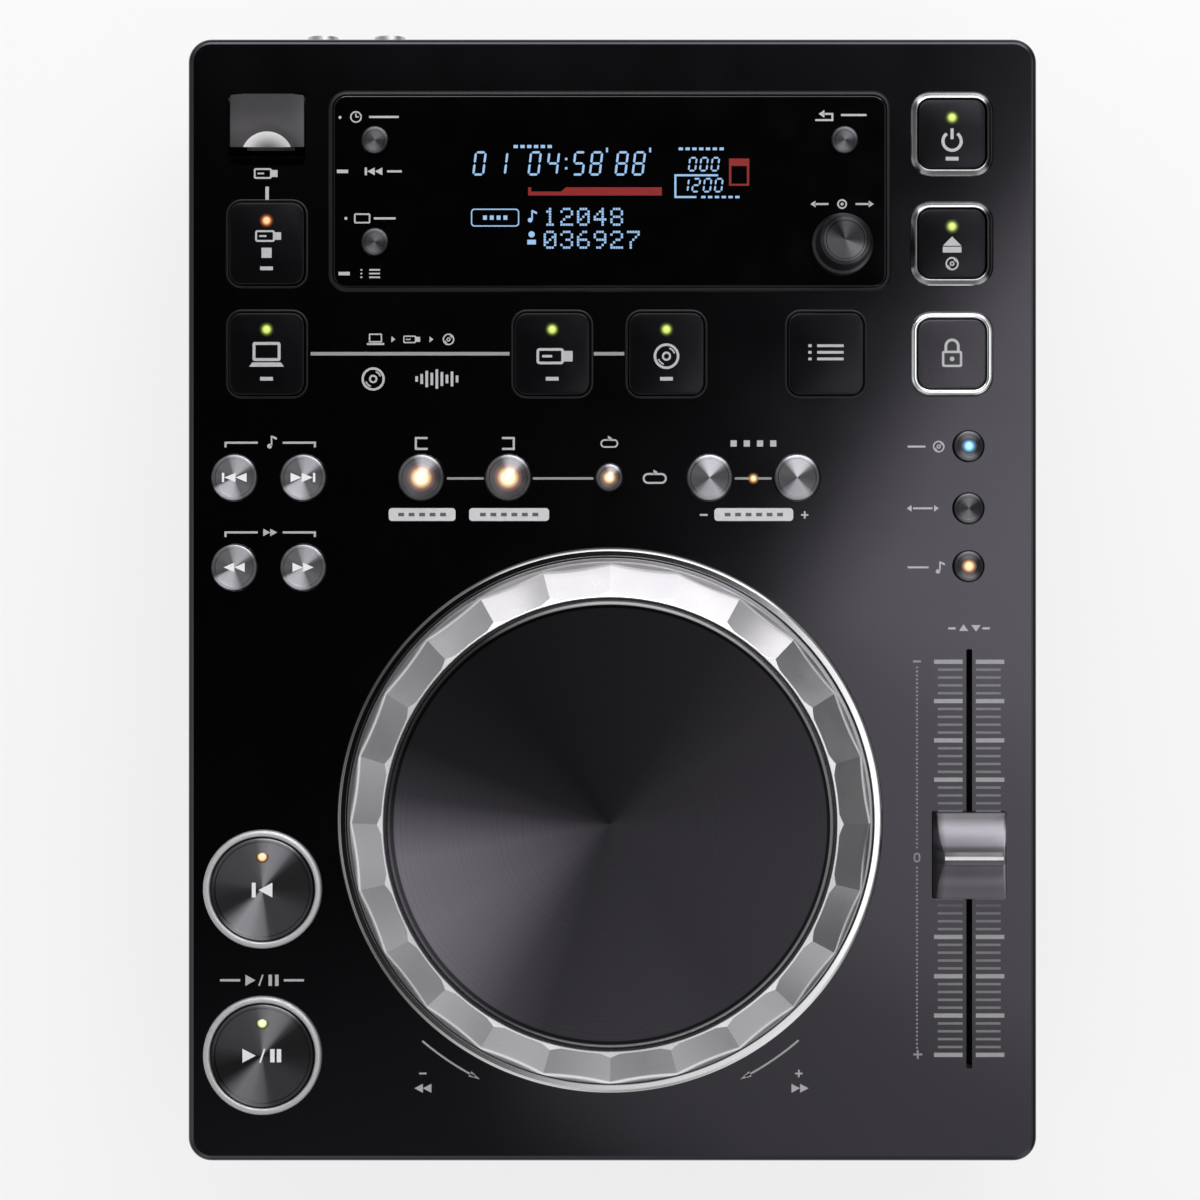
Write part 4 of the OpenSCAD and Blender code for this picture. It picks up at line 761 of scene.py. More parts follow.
def turned_keys():
    for nodes, shade, levels in TURNED_KEYS:
        for node in nodes:
            finish = spun_metal(node, shade, levels)
            if node in KEY_GLOW:
                finish.glow(finish.radius(width_of(node)), KEY_GLOW[node], 1.0)
            round_key(node, finish)


def frame_trim(name, bm, finish):
    add_piece(name, bm, finish, "case", sharp=40, stands_for="key_frames")


def square_frame(node, shine):
    """Bright frame round a square key; round the power and eject keys its bars are made lighter or darker as
    a painted reflection, and shine is the painted level of the rear bar.
    """
    frame_top, base, wide = FACE + 1.3, FACE - 1.5, 1.7
    finish = Finish(node + "_frame_finish", (0.86, 0.86, 0.88), 0.16, 1.0)
    finish.mottle(finish.noise(1.5), 0.02)
    if node == "beat_lock_key":
        band = [(0, -0.3), (0.1, -0.08), (0.25, 0), (0.9, 0), (1.2, -0.15), (1.5, -0.6), (wide, -1.0)]
    else:
        band = [(0, -0.2), (0.08, -0.05), (0.22, 0), (0.35, -0.03), (1.6, -0.88), (wide, -1.1)]
        # Painted reflection: right bar darkest, left bar dim, front bar mid grey, rear bar at shine.
        finish.scale_color(finish.by_angle((
            (-180, 0.30), (-140, 0.30), (-134, 0.45), (-46, 0.45), (-40, 0.10), (40, 0.10), (46, shine),
            (134, shine), (140, 0.30), (180, 0.30))))
    bm = bmesh.new()
    bead(bm, *key_hole(node), middle(node)[:2], frame_top,
         [(0, base - frame_top)] + band + [(wide, base - frame_top)])
    frame_trim(node + "_frame", bm, finish)


def round_frame(node):
    """Bright ring round one of the two large turned keys."""
    x, y, _ = middle(node)
    r, top, base = key_body(node)[0] / 2 + KEY_GAP, middle("key_frames")[2], FACE - 1.5
    bm = bmesh.new()
    lathe(bm, [(r, base), (r + 1.8, base), (r + 1.8, top - 0.9), (r + 1.7, top - 0.5), (r + 1.45, top - 0.2),
               (r + 1.0, top - 0.03), (r + 0.6, top), (r + 0.3, top - 0.1), (r + 0.1, top - 0.3),
               (r, top - 0.6)], n=120, ring=True)
    bmesh.ops.translate(bm, vec=(x, y, 0), verts=bm.verts)
    frame_trim(node + "_ring", bm, RING_METAL)


def key_lips():
    """Softened edge of the panel round each plain square key."""
    bm = bmesh.new()
    for node in PLAIN_KEYS:
        bead(bm, *key_hole(node), middle(node)[:2], FACE,
             [(0, -0.4), (0, 0.02), (0.15, 0.07), (0.4, 0.06), (0.6, -0.02), (0.3, -0.4)])
    add_piece("key_lips", bm, KEY_LIP, "case")


# ---- Jog wheel ----

def scoop_wheel():
    """Jog wheel with scoops round its slope, which leave a small flat between them at the inner lip."""
    scoops, per_scoop, rows = 24, 12, 12
    lip_r, lip_end, lip_z, lip_fall = 57.7, 57.9, JOG_TOP - 0.04, math.tan(math.radians(14))
    slope, scoop_r, scoop_start = math.radians(33), 85, 57.15
    wall_r, wall_gap, roll_least, roll_more, curl = 66.1, 0.4, 0.35, 1.0, 0.375
    half = math.pi / scoops

    def lip(r):
        """Height of the lip's cone at that radius."""
        return lip_z - (r - lip_r) * lip_fall

    def scoop(r, turn, roll):
        """Height of a scoop's floor, which curls down past the radius "roll"."""
        along, across = r * math.cos(turn), r * math.sin(turn)
        z = lip(scoop_start) - (along - scoop_start) * math.tan(slope)
        z += (scoop_r - math.sqrt(scoop_r ** 2 - across ** 2)) / math.cos(slope)
        return z - curl * max(0, r - roll) ** 2

    def section(turn):
        """Profile of the wheel at that turn from the middle of a scoop."""
        roll = wall_r - wall_gap - roll_least - roll_more * (1 - (turn / half) ** 2)
        near, far = lip_end, wall_r - 1
        for _ in range(30):
            mid = (near + far) / 2
            if scoop(mid, turn, roll) > lip(mid):
                near = mid
            else:
                far = mid
        radii = [wall_r] + onwards(wall_r, roll, rows) + onwards(roll, near, 5)
        return [(r, scoop(r, turn, roll)) for r in radii] + [(r, lip(r)) for r in onwards(near, lip_r, 3)]

    base, web = box_mm("jog_wheel")[0].z, box_mm("jog_plate")[0].z - 0.5
    inner = [(57.55, JOG_TOP), (57.4, JOG_TOP), (57.27, JOG_TOP - 0.2), (57.25, web), (7, web), (7, 96.5),
             (4.05, 96.5), (4.05, base), (9, base), (9, web - 2), (53, web - 2), (63.7, 97), (64.5, base)]
    outer = [(67.45, base), (67.5, base + 0.1), (67.5, 90.25), (67.44, 90.4), (67.3, 90.49), (66.5, 90.5),
             (66.6, 91.4), (66.3, 94.0), (65.9, 94.4), (66.1, 95.2), (66.1, 98.0)]
    sections = []
    for i in range(scoops * per_scoop):
        turn = i * 2 * half / per_scoop
        profile = outer + section(((i % per_scoop) / per_scoop - 0.5) * 2 * half) + inner
        sections.append([(r * math.cos(turn), r * math.sin(turn), z) for r, z in profile])
    bm = bmesh.new()
    skin(bm, list(zip(*sections)), ring=True)
    add_piece("jog_rim", bm, SILVER, "jog", (JOG_X, JOG_Y, 0), sharp=9, stands_for="jog_wheel")


def plate_seal():
    """Rubber ring in the gap between the touch plate and the wheel."""
    low, high, inner_r, outer_r = JOG_TOP - 1.1, JOG_TOP - 0.7, 56.72, 57.4
    bm = bmesh.new()
    lathe(bm, [(inner_r, low), (outer_r, low), (outer_r, high), (inner_r, high)], n=180, ring=True)
    add_piece("plate_seal", bm, ROLLER_RUBBER, "jog", (JOG_X, JOG_Y, 0))


def trim_ring():
    """Polished ring round the wheel's well: its top is flat inside and rounds down outside."""
    low, high = box_mm("jog_trim_ring")
    r, top = (high.x - low.x) / 2, high.z
    bm = bmesh.new()
    lathe(bm, [(r - 2.4, low.z), (r, low.z), (r, top - 0.80), (r - 0.1, top - 0.55), (r - 0.3, top - 0.32),
               (r - 0.55, top - 0.14), (r - 0.8, top - 0.03), (r - 0.92, top), (r - 0.96, top),
               (r - 2.1, top), (r - 2.14, top), (r - 2.3, top - 0.12), (r - 2.4, top - 0.35)],
          n=240, ring=True)
    shine = Finish("trim_ring_metal", (0.98, 0.97, 0.99), 0.12, 1.0)
    # Painted reflection: the ring is made lighter or darker round it by angle.
    shine.mottle(shine.noise(1.5), 0.02).scale_color(shine.by_angle(FAN_RING))
    add_piece("jog_ring", bm, shine, "case", (JOG_X, JOG_Y, 0), sharp=40, stands_for="jog_trim_ring")


# ---- Other pieces ----

def stick_lid():
    """Lid of the stick bay, with a dished thumb notch at its front edge."""
    low, high = box_mm("usb_lid")
    front, top = low.y, high.z
    half, thick, corner, depth = 9.6, 1.7, 1.2, 1.15
    hinge_y, hinge_r, pin_r, pin_reach = high.y - 1.5, 1.5, 0.75, 1.3
    notch_y = front - NOTCH_BACK
    mouth = math.sqrt(NOTCH_R ** 2 - NOTCH_BACK ** 2)

    def surface(x, y):
        off = math.hypot(x, y - notch_y)
        return top - (depth * (1 - (off / NOTCH_R) ** 2) if off < NOTCH_R else 0)

    sides = [half - 0.4, half - 0.15, half]
    loops = []
    for x in [-s for s in sides[::-1]] + [-mouth] + onwards(-mouth, mouth, 28) + sides:
        edge = 0.25 if abs(x) > half - 0.05 else 0.06 if abs(x) > half - 0.2 else 0
        notch_edge = max(front + 0.02, math.sqrt(max(0, NOTCH_R ** 2 - x ** 2)) + notch_y)
        rear = high.y - corner + math.sqrt(corner ** 2 - max(0, abs(x) - half + corner) ** 2)
        ys = [rear - 0.05, rear - 0.3] + onwards(rear - 0.3, notch_edge, 4) + onwards(notch_edge, front, 10)
        under, low_edge = top - thick + edge, top - 2 * hinge_r + edge
        loops.append([(x, rear, top - 0.3 - edge)] + [(x, y, surface(x, y) - edge) for y in ys]
                     + [(x, front, under), (x, hinge_y - hinge_r - 0.2, under), (x, hinge_y - 0.8, low_edge),
                        (x, hinge_y + 0.6, low_edge), (x, rear, top - hinge_r)])
    bm = bmesh.new()
    skin(bm, loops)
    pin = circle(pin_r, (hinge_y, top - hinge_r), 24)
    skin(bm, [[(x, y, z) for y, z in pin] for x in (-half - pin_reach, half + pin_reach)])
    add_piece("stick_lid_cover", bm, LID_GREY, "stick_lid", ((low.x + high.x) / 2, 0, 0), sharp=30,
              stands_for="usb_lid")


def phono_collars():
    """Coloured collars round the two phono sockets at the rear."""
    first_x, pitch, z, r = box_mm("jack_board")[0].x + 12, 18, 40, 4.15
    for k, (name, finish) in enumerate((("collar_white", COLLAR_WHITE), ("collar_red", COLLAR_RED))):
        bm = bmesh.new()
        lathe(bm, [(r, 0), (r + 0.95, 0), (r + 0.95, 1.1), (r + 0.75, 1.35), (r, 1.35)], n=48, ring=True)
        bmesh.ops.transform(bm, matrix=Matrix.Rotation(-math.pi / 2, 4, "X"), verts=bm.verts)
        add_piece(name, bm, finish, "case", (first_x + k * pitch, PANEL_HIGH.y, z))


def lock_pocket():
    """Blind steel pocket behind the lock slot in the rear panel."""
    x, z = middle("power_inlet")[0] - 40, 40
    w, h, depth, wall = 7.4, 3.4, 5, 1
    mouth = box_mm("rear_panel")[0].y - 0.02
    inner, outer = rect(w, h, (x, z)), rect(w + 2 * wall, h + 2 * wall, (x, z))
    bm = bmesh.new()
    skin(bm, [[(px, y, pz) for px, pz in outline] for outline, y in (
        (inner, mouth - depth), (inner, mouth), (outer, mouth), (outer, mouth - depth - wall))])
    add_piece("lock_pocket", bm, STEEL_BLACK, "case")


def window_bezel():
    """Raised rim of the panel round the window."""
    low, high = box_mm("display_window")
    bm = bmesh.new()
    bead(bm, high.x - low.x, high.y - low.y, 3.5, middle("display_window")[:2], FACE,
         [(0.12, -0.3), (0.12, 0.42), (0.25, 0.52), (0.7, 0.5), (1.05, 0.3), (1.25, -0.02), (0.8, -0.3)])
    add_piece("window_bezel", bm, BEZEL, "case")


def fader_cap():
    """Cap with two hollow slopes and a flat ridge; its sides lean in, so it narrows towards the ridge."""
    low, high = box_mm("tempo_knob")
    x, y, _ = middle("tempo_knob")
    longer, set_back = 0.6, 1.0
    half_l, h, half_w = (high.y - low.y) / 2 + longer, high.z - low.z, (high.x - low.x) / 2
    toe, ridge, dish, crown, lean, soft, foot = 3.5, 1.6, 1.6, 0.12, 0.152, 0.45, 0.4
    groove, groove_depth = 0.5, 0.35
    run = half_l - foot - ridge

    def height(v):
        """Height of the top at the distance v from the middle."""
        if v < groove:
            return h - groove_depth
        if v <= ridge:
            return h - crown * (v / ridge) ** 2
        if v <= half_l - foot:
            t = 1 - (v - ridge) / run
            return toe + (h - crown - toe) * t - dish * math.sin(math.pi * t)
        return toe - (0.5 if v > half_l - 0.05 else 0.18)

    slope = [ridge] + onwards(ridge, ridge + run, 22)
    stations = [groove - 0.01, groove, ridge * 0.6] + slope + [half_l - 0.12, half_l]
    loops = []
    for v in [-v for v in stations[::-1]] + stations:
        top = height(abs(v))
        inner = half_w - lean * top
        side = [(half_w - lean * z, z) for z in (0, foot, top - soft)]
        side += arc(soft, 0, 90, (inner - soft, top - soft), 3)[1:] + [(inner * 0.5, top - 0.08)]
        loops.append([(px, v, low.z + pz) for px, pz in side + [(-px, pz) for px, pz in side[::-1]]])
    bm = bmesh.new()
    skin(bm, loops)
    add_piece("fader_cap", bm, FADER_GREY, "fader", (x, y + set_back, 0), sharp=30, stands_for="tempo_knob")
    line = Ink("fader_index", high.z - 0.3, BRIGHT_WHITE, "fader", (x, y + set_back))
    line.bar(2 * (half_w - lean * h) - 0.3, 0.94)
    line.done()


def fader_slot():
    """Two thin lips that narrow the slot down to the lever's blade."""
    width, length, off = 0.7, 110, 1.12
    lips = Ink("fader_lips", FACE, PANEL_BLACK, at=middle("tempo_knob")[:2])
    for side in (-1, 1):
        lips.bar(width, length, (side * off, 0))
    lips.done()


def lamp(name, body, x, y, z, kind, r, halo):
    """Small domed lamp with a soft halo on the face round it."""
    core, mid, rim = LIGHTS[kind]
    bm = bmesh.new()
    lathe(bm, [(0, z - 0.2), (r, z - 0.2), (r, z), (r * 0.92, z + 0.10), (r * 0.7, z + 0.2),
               (r * 0.35, z + 0.27), (0, z + 0.29)], n=32)
    made = Finish(name + "_light", (0.05, 0.05, 0.05), 0.2)
    made.glow(made.radius(2 * r), ((0, core), (r * 0.55, core), (r, mid)), 1.0)
    add_piece(name, bm, made, body, (x, y, 0))
    bm = bmesh.new()
    prism(bm, circle(halo, n=40), z - SUNK, z + INK * 0.4)
    made = Finish(name + "_halo_light", (0.010, 0.010, 0.011), 0.16)
    made.glow(made.radius(2 * halo), ((0, mid), (r, mid), ((r + halo) / 2, rim), (halo, (0, 0, 0))), 0.8)
    add_piece(name + "_halo", bm, made, body, (x, y, 0))


def square_lamp(node, kind, up):
    """Lamp behind the mark of a square key."""
    x, y, top = middle(node)
    r, halo = 0.95, 1.9
    lamp(node + "_lamp", BODY_OF[node], x, y + up, top, kind, r, halo)


def dish_lamp(node, kind, up, r, halo):
    """Lamp in the dish of a turned key."""
    x, y, top = middle(node)
    lamp(node + "_lamp", BODY_OF[node], x, y + up, top - dish_depth(node, up), kind, r, halo)


def lamps():
    square_lamp("power_key", "green", 4.2)
    square_lamp("eject_key", "green", 4.4)
    square_lamp("usb_stop_key", "orange", 5.9)
    for node in ("computer_source_key", "usb_source_key", "disc_source_key"):
        square_lamp(node, "green", 6.3)
    dish_lamp("cue_key", "amber", 8.4, 1.0, 1.6)
    dish_lamp("play_key", "lime", 8.4, 1.0, 1.6)
    lamp("beat_lamp", "case", 36.3, FRONT + 175.8, FACE, "amber", 0.7, 1.5)
    dish_lamp("vinyl_mode_key", "blue", 0, 1.1, 2.0)
    dish_lamp("master_tempo_key", "amber", 0, 1.1, 2.0)


# ---- Marks, drawn about the pen ----

def mark_skip(ink, w=6.4, h=2.4):
    """Two arrows to the right and a bar."""
    bar = 0.6
    arrow = (w - bar - 0.1) / 2
    for k in (0, 1):
        ink.area(triangle(arrow, h, (arrow * (k + 0.5) - w / 2, 0)))
    ink.bar(bar, h, (w / 2 - 0.35, 0))


def mark_wind(ink, w=5.4, h=2.4):
    """Two arrows to the right."""
    for side in (-1, 1):
        ink.area(triangle(w / 2, h, (side * w / 4, 0)))


def mark_stick(ink):
    """Memory stick: case, label and plug."""
    ink.box(4.4, 2.6, 0.5, (3.56, 1.76, 0.2))
    ink.bar(1.6, 0.4, (-0.5, 0))
    ink.bar(1.4, 1.7, (2.9, 0))


def mark_laptop(ink):
    ink.box(7.2, 4.9, 0.6, (5.7, 3.4, 0.15), (0, 0.9))
    ink.area([(-4.5, -3.0), (4.5, -3.0), (3.7, -1.9), (-3.7, -1.9)])


def mark_small_laptop(ink):
    ink.box(3.4, 2.3, 0.3, (2.7, 1.6, 0.1), (0, 0.35))
    ink.bar(4.4, 0.5, (0, -1.2))


def mark_disc(ink, r, line):
    ink.ring(r, line)
    ink.ring(r * 0.36, line * 0.8, n=24)
    for start in (20, 200):
        ink.stroke(arc(r * 0.66, start, start + 50, n=8), line * 0.6)


def mark_clock(ink, r):
    ink.ring(r, 0.35, n=32)
    ink.stroke([(0, r * 0.6), (0, 0), (r * 0.5, 0)], 0.3)


def mark_note(ink):
    ink.bar(0.4, 2.6, (0.55, 0.3))
    ink.dot(0.62, (0.02, -1.1), 16)
    ink.area([(0.77, 1.6), (1.87, 1.1), (1.87, 0.5), (0.77, 1.0)])


def mark_loop(ink, w, h, line=0.4):
    """Round-cornered loop with an arrow head."""
    ink.hollow(rounded(w, h, h / 2 - 0.01, steps=6),
               rounded(w - 2 * line, h - 2 * line, h / 2 - line - 0.01, steps=6))
    ink.area(triangle(1.1, 1.3, (0.2, h / 2 + 0.25)))


def mark_plus(ink, size=1.9, line=0.45):
    """Plus sign as one outline."""
    a, b = size / 2, line / 2
    ink.area([(-b, -a), (b, -a), (b, -b), (a, -b), (a, b), (b, b),
              (b, a), (-b, a), (-b, b), (-a, b), (-a, -b), (-b, -b)])


def mark_list(ink, w, pitch, line):
    for side in (-1, 0, 1):
        ink.bar(line * 1.2, line, (line / 2 - w / 2, side * pitch))
        ink.bar(w - 2.2, line, (1.1, side * pitch))


SEGMENTS = {0: "abcdef", 1: "bc", 2: "abged", 4: "fgbc", 5: "afgcd", 8: "abcdefg"}


def digit(ink, value, w, h, line):
    """Leaning seven-segment digit with its lower left corner at the pen."""
    lean, gap, k = 0.12, 0.16, line / 2
    places = {"a": (w / 2, h), "d": (w / 2, 0), "g": (w / 2, h / 2), "f": (0, 0.75 * h), "b": (w, 0.75 * h),
              "e": (0, 0.25 * h), "c": (w, 0.25 * h)}
    for name in SEGMENTS[value]:
        cx, cy = places[name]
        upright = name not in "adg"
        half = (h / 4 if upright else w / 2) - gap
        shape = [(-half, 0), (k - half, -k), (half - k, -k), (half, 0), (half - k, k), (k - half, k)]
        if upright:
            shape = [(-y, x) for x, y in shape]
        ink.area([(cx + x + lean * (cy + y), cy + y) for x, y in shape])


GLYPHS = {  # rows of a 5 x 7 dot matrix, from the top
    "0": "01110 10001 10011 10101 11001 10001 01110", "1": "00100 01100 00100 00100 00100 00100 01110",
    "2": "01110 10001 00001 00110 01000 10000 11111", "3": "01110 10001 00001 00110 00001 10001 01110",
    "4": "00010 00110 01010 10010 11111 00010 00010", "6": "00110 01000 10000 11110 10001 10001 01110",
    "7": "11111 00001 00010 00100 01000 01000 01000", "8": "01110 10001 10001 01110 10001 10001 01110",
    "9": "01110 10001 10001 01111 00001 00010 01100",
}


def dot_line(ink, figures):
    """Dot-matrix figures, with the lower left corner at the pen."""
    pitch, size, advance = 0.67, 0.56, 6.4
    for i, figure in enumerate(figures):
        for row, bits in enumerate(GLYPHS[figure].split()):
            for column, bit in enumerate(bits):
                if bit == "1":
                    ink.bar(size, size, ((i * advance + column) * pitch, (6 - row) * pitch))


# ---- Print on the panel and the window, by X and f ----

def printed(name, z, finish):
    return Ink(name, z, finish, pen=(0, FRONT))


def panel_marks():
    white = printed("panel_marks", FACE, WHITE)
    for marks in (bay_marks, source_marks, search_marks, loop_marks, side_marks, play_marks, jog_marks):
        marks(white)
    white.done()
    lines = printed("panel_lines", FACE, GREY)
    for start, end in ((-77.7, -26.5), (-4.8, 3.0)):
        lines.dash(start, end, 207.9, 0.9)
    for start, end in ((-42.6, -33.1), (-20.5, -4.9), (31.5, 35.2), (37.4, 41.0)):
        lines.dash(start, end, 175.8, 0.6)
    lines.done()
    pills = printed("panel_pills", FACE, PILL_LIGHT)
    dots = printed("pill_marks", FACE + INK, PILL_DARK)
    for x, w, n in ((-49.0, 17.2, 5), (-26.6, 20.6, 6), (36.4, 20.3, 6)):
        pills.area(rounded(w, 3.3, 0.9, (x, 166.5)))
        dots.row(n, 2.7, 1.5, 0.9, (x - 1.35 * (n - 1), 166.5))
    pills.done()
    dots.done()


def bay_marks(ink):
    """Between the stick bay and its stop key."""
    ink.put(mark_stick, (-90.0, 254.3), size=1.05)
    ink.bar(0.9, 3.6, (-88.9, 249.1))


def source_marks(ink):
    """Beside the source keys."""
    f = 211.6
    ink.put(mark_small_laptop, (-61, f))
    for x in (-56.4, -46.6):
        ink.area(triangle(1.0, 1.6, (x, f)))
    ink.put(mark_stick, (-52.2, f), size=0.75)
    ink.put(mark_disc, (-42.2, f), 1.5, 0.35)
    ink.put(mark_disc, (-61.6, 201.4), 3.0, 0.6)
    for k, h in enumerate((1.4, 2.6, 4.2, 3.2, 5.0, 3.6, 2.2, 3.8, 1.8)):
        ink.bar(0.7, h, (-50.4 + 1.3 * k, 201.4))


def search_marks(ink):
    """A bracket over each pair of track and search keys."""
    x = -88.1
    for f in (185.0, 161.9):
        for side in (-1, 1):
            ink.stroke([(x + side * 11.5, f - 1.2), (x + side * 11.5, f), (x + side * 3.2, f)], 0.55)
    ink.put(mark_note, (-88.3, 185.2))
    ink.put(mark_wind, (x, 161.9), 3.6, 1.9)


def loop_marks(ink):
    """Over and beside the loop keys and the beat keys."""
    for x, side in ((-47.6, -1), (-28.4, 1)):
        ink.stroke([(x, 186.2), (x + 3 * side, 186.2), (x + 3 * side, 183.4), (x, 183.4)], 0.55)
    ink.put(mark_loop, (-0.8, 184.8), 4.6, 2.2)
    ink.put(mark_loop, (10.9, 175.8), 6.2, 2.8, 0.5)
    ink.row(4, 3.4, 1.6, 1.6, (31.2, 184.8))
    ink.bar(2.0, 0.5, (23.5, 166.4))
    ink.put(mark_plus, (49.5, 166.4))


def side_marks(ink):
    """Beside the three small keys, and over the fader."""
    ink.put(mark_disc, (84.0, 184.0), 1.5, 0.35)
    ink.dash(76.0, 80.6, 184.0, 0.5)
    ink.dash(77.4, 82.4, 168.1, 0.5)
    ink.area(triangle(1.2, 1.7, (83.4, 168.1)))
    ink.area(triangle(1.2, 1.7, (76.4, 168.1), 180))
    ink.put(mark_note, (83.8, 152.9), size=0.95)
    ink.dash(76.0, 81.4, 152.9, 0.5)
    ink.area(triangle(1.7, 2.4, (90.4, 137.4), 90))
    ink.area(triangle(1.7, 2.4, (93.6, 137.2), -90))
    for x in (87.4, 96.2):
        ink.bar(1.9, 0.55, (x, 137.2))


def play_marks(ink):
    """Over the play key."""
    f = 46.6
    ink.area(triangle(2.6, 2.9, (-93.2, f)))
    ink.stroke([(-91.0, f - 1.4), (-90.0, f + 1.4)], 0.4)
    for w, h, places in ((0.9, 2.9, (-88.1, -86.4)), (5.2, 0.6, (-98.4, -82.0))):
        for x in places:
            ink.bar(w, h, (x, f))


def jog_marks(ink):
    """Curved arrows at the front of the wheel, with the way it turns."""
    for start, end in ((229.6, 242.2), (310.6, 297.8)):
        curve = arc(74.6, start, end, (-0.6, 87.8), 12)
        ink.stroke(curve, 0.5)
        tip, back = curve[-1], curve[-3]
        heading = math.degrees(math.atan2(tip[1] - back[1], tip[0] - back[0]))
        ink.area(triangle(3.0, 1.5, tip, heading))
    ink.bar(1.9, 0.45, (-48.8, 22.6))
    ink.put(mark_plus, (48.0, 22.6))
    ink.put(mark_wind, (-48.8, 18.8), 4.4, 2.3, turn=180)
    ink.put(mark_wind, (48.3, 18.8), 4.4, 2.3)


def fader_scale():
    """Ticks on both sides of the fader's slot, and a dotted line beside them."""
    x, mid, pitch, inner = middle("tempo_knob")[0], 78.0, 2.024, 1.7
    major = printed("scale_majors", FACE, MAJOR_GREY)
    minor = printed("scale_minors", FACE, DIM_GREY)
    for k in range(-25, 26):
        ink, half, thick = (major, 9.05, 1.1) if k % 5 == 0 else (minor, 8.1, 0.62)
        for side in (-1, 1):
            ink.bar(half - inner, thick, (x + side * (half + inner) / 2, mid + pitch * k))
    major.done()
    minor.done()
    marks = printed("scale_marks", FACE, GREY)
    marks.bar(2.0, 0.5, (78.4, 128.7))
    marks.put(mark_plus, (78.6, 27.5), 2.3, 0.5)
    marks.hollow(rounded(1.7, 2.5, 0.84, (78.4, 78.2), 6), rounded(0.9, 1.7, 0.44, (78.4, 78.2), 6))
    for k in range(46):
        for side in (-1, 1):
            marks.dot(0.27, (78.4, 78.2 + side * (2.6 + 1.03 * k)), n=10)
    marks.done()


def window_marks():
    """Beside the three small keys and the selector knob in the window."""
    white = printed("window_marks", GLASS, WHITE)
    white.dot(0.4, (-70.1, 268.7))
    white.put(mark_clock, (-66.0, 268.8), 1.5)
    white.dot(0.4, (-68.6, 242.7))
    white.box(4.2, 2.6, 0.4, (3.4, 1.8, 0.15), (-64.4, 242.7))
    white.put(mark_skip, (-61.5, 254.8), 4.6, 2.0, turn=180)
    white.put(mark_list, (-62.3, 228.5), 5.0, 0.95, 0.4)
    for start, end, f, width in (
            (-62.6, -55.0, 268.8, 0.55), (-70.9, -68.0, 254.8, 0.9), (-58.0, -54.2, 254.8, 0.55),
            (-61.4, -55.8, 242.7, 0.55), (-70.5, -67.6, 228.5, 0.9)):
        white.dash(start, end, f, width)
    # Return arrow and its label
    white.stroke([(52.2, 268.0), (56.6, 268.0), (56.6, 269.6), (54.4, 269.6)], 0.5)
    white.area(triangle(1.5, 2.0, (53.8, 269.6), 180))
    white.dash(58.8, 65.4, 269.3, 0.55)
    # Turn and push
    f = 246.4
    white.dash(52.0, 55.6, f, 0.5)
    white.area(triangle(1.3, 1.7, (51.6, f), 180))
    white.ring(1.25, 0.4, (59.1, f), n=28)
    white.dot(0.4, (59.1, f))
    white.dash(62.6, 66.2, f, 0.5)
    white.area(triangle(1.3, 1.7, (66.6, f)))
    white.done()


def display():
    """Lit figures behind the window, shown on its face."""
    blue = printed("display_figures", GLASS, DISPLAY_BLUE)
    for value, x in zip((0, 1, 0, 4, 5, 8, 8, 8), (-35.8, -30.2, -21.6, -16.9, -10.2, -5.8, 0.8, 5.2)):
        blue.put(digit, (x, 254.0), value, 2.5, 5.7, 0.56)
    for f in (255.6, 258.0):
        blue.bar(0.6, 0.6, (-11.9, f))
    for x in (-1.4, 9.7):
        blue.bar(0.5, 1.2, (x, 260.3))
    pitch = 1.75
    blue.row(6, pitch, 1.1, 0.8, (-24.9, 261.2))
    for x, f, values in ((19.6, 255.0, (0, 0, 0)), (17.6, 249.6, (1, 2, 0, 0))):
        for k, value in enumerate(values):
            blue.put(digit, (x + 2.9 * k, f), value, 1.7, 3.3, 0.44)
    blue.row(7, pitch, 1.1, 0.7, (17.6, 260.6))
    blue.row(6, pitch, 1.1, 0.6, (23.4, 248.2))
    blue.stroke([(21.6, 248.2), (16.2, 248.2), (16.2, 253.8), (27.2, 253.8)], 0.5)
    blue.box(12.4, 4.6, 0.9, (11.8, 4.0, 0.7), (-30.2, 242.9))
    blue.row(4, pitch, 1.0, 1.1, (-32.8, 242.9))
    blue.put(mark_note, (-21.2, 243.3), size=0.95)
    blue.dot(0.8, (-20.8, 238.6))
    blue.bar(2.2, 1.2, (-20.8, 236.6))
    blue.put(dot_line, (-17.4, 241.1), "12048")
    blue.put(dot_line, (-17.4, 235.2), "036927")
    blue.done()
    red = printed("display_bar", GLASS, DISPLAY_RED)
    red.area([(-21.7, 248.6), (12.7, 248.6), (12.7, 250.7), (-12.0, 250.7), (-13.2, 249.6), (-20.9, 249.6),
              (-20.9, 250.7), (-21.7, 250.7)])
    red.hollow(rect(5.2, 7.0, (32.6, 254.6)), rect(4.0, 4.6, (32.6, 253.9)))
    red.done()


# ---- Marks on the keys ----

def power_mark(ink):
    ink.stroke(arc(2.35, 125, 415, (0, -1.9), 28), 0.8)
    ink.bar(0.8, 2.8)


def eject_mark(ink):
    ink.area(triangle(2.4, 4.8, (0, 0.6), 90))
    ink.bar(4.8, 1.5, (0, -1.6))
    ink.put(mark_disc, (0, -5.2), 1.7, 0.4)


def lock_mark(ink):
    ink.box(5.2, 4.2, 0.6, (4.0, 3.0, 0.2), (0, -1.3))
    ink.stroke([(-1.6, 0.8)] + arc(1.6, 180, 0, (0, 2.0), 10) + [(1.6, 0.8)], 0.7)
    ink.dot(0.6, (0, -1.3))


def stop_mark(ink):
    ink.put(mark_stick, (-0.4, 1.9), size=1.15)
    ink.bar(2.6, 2.6, (0, -2.4))


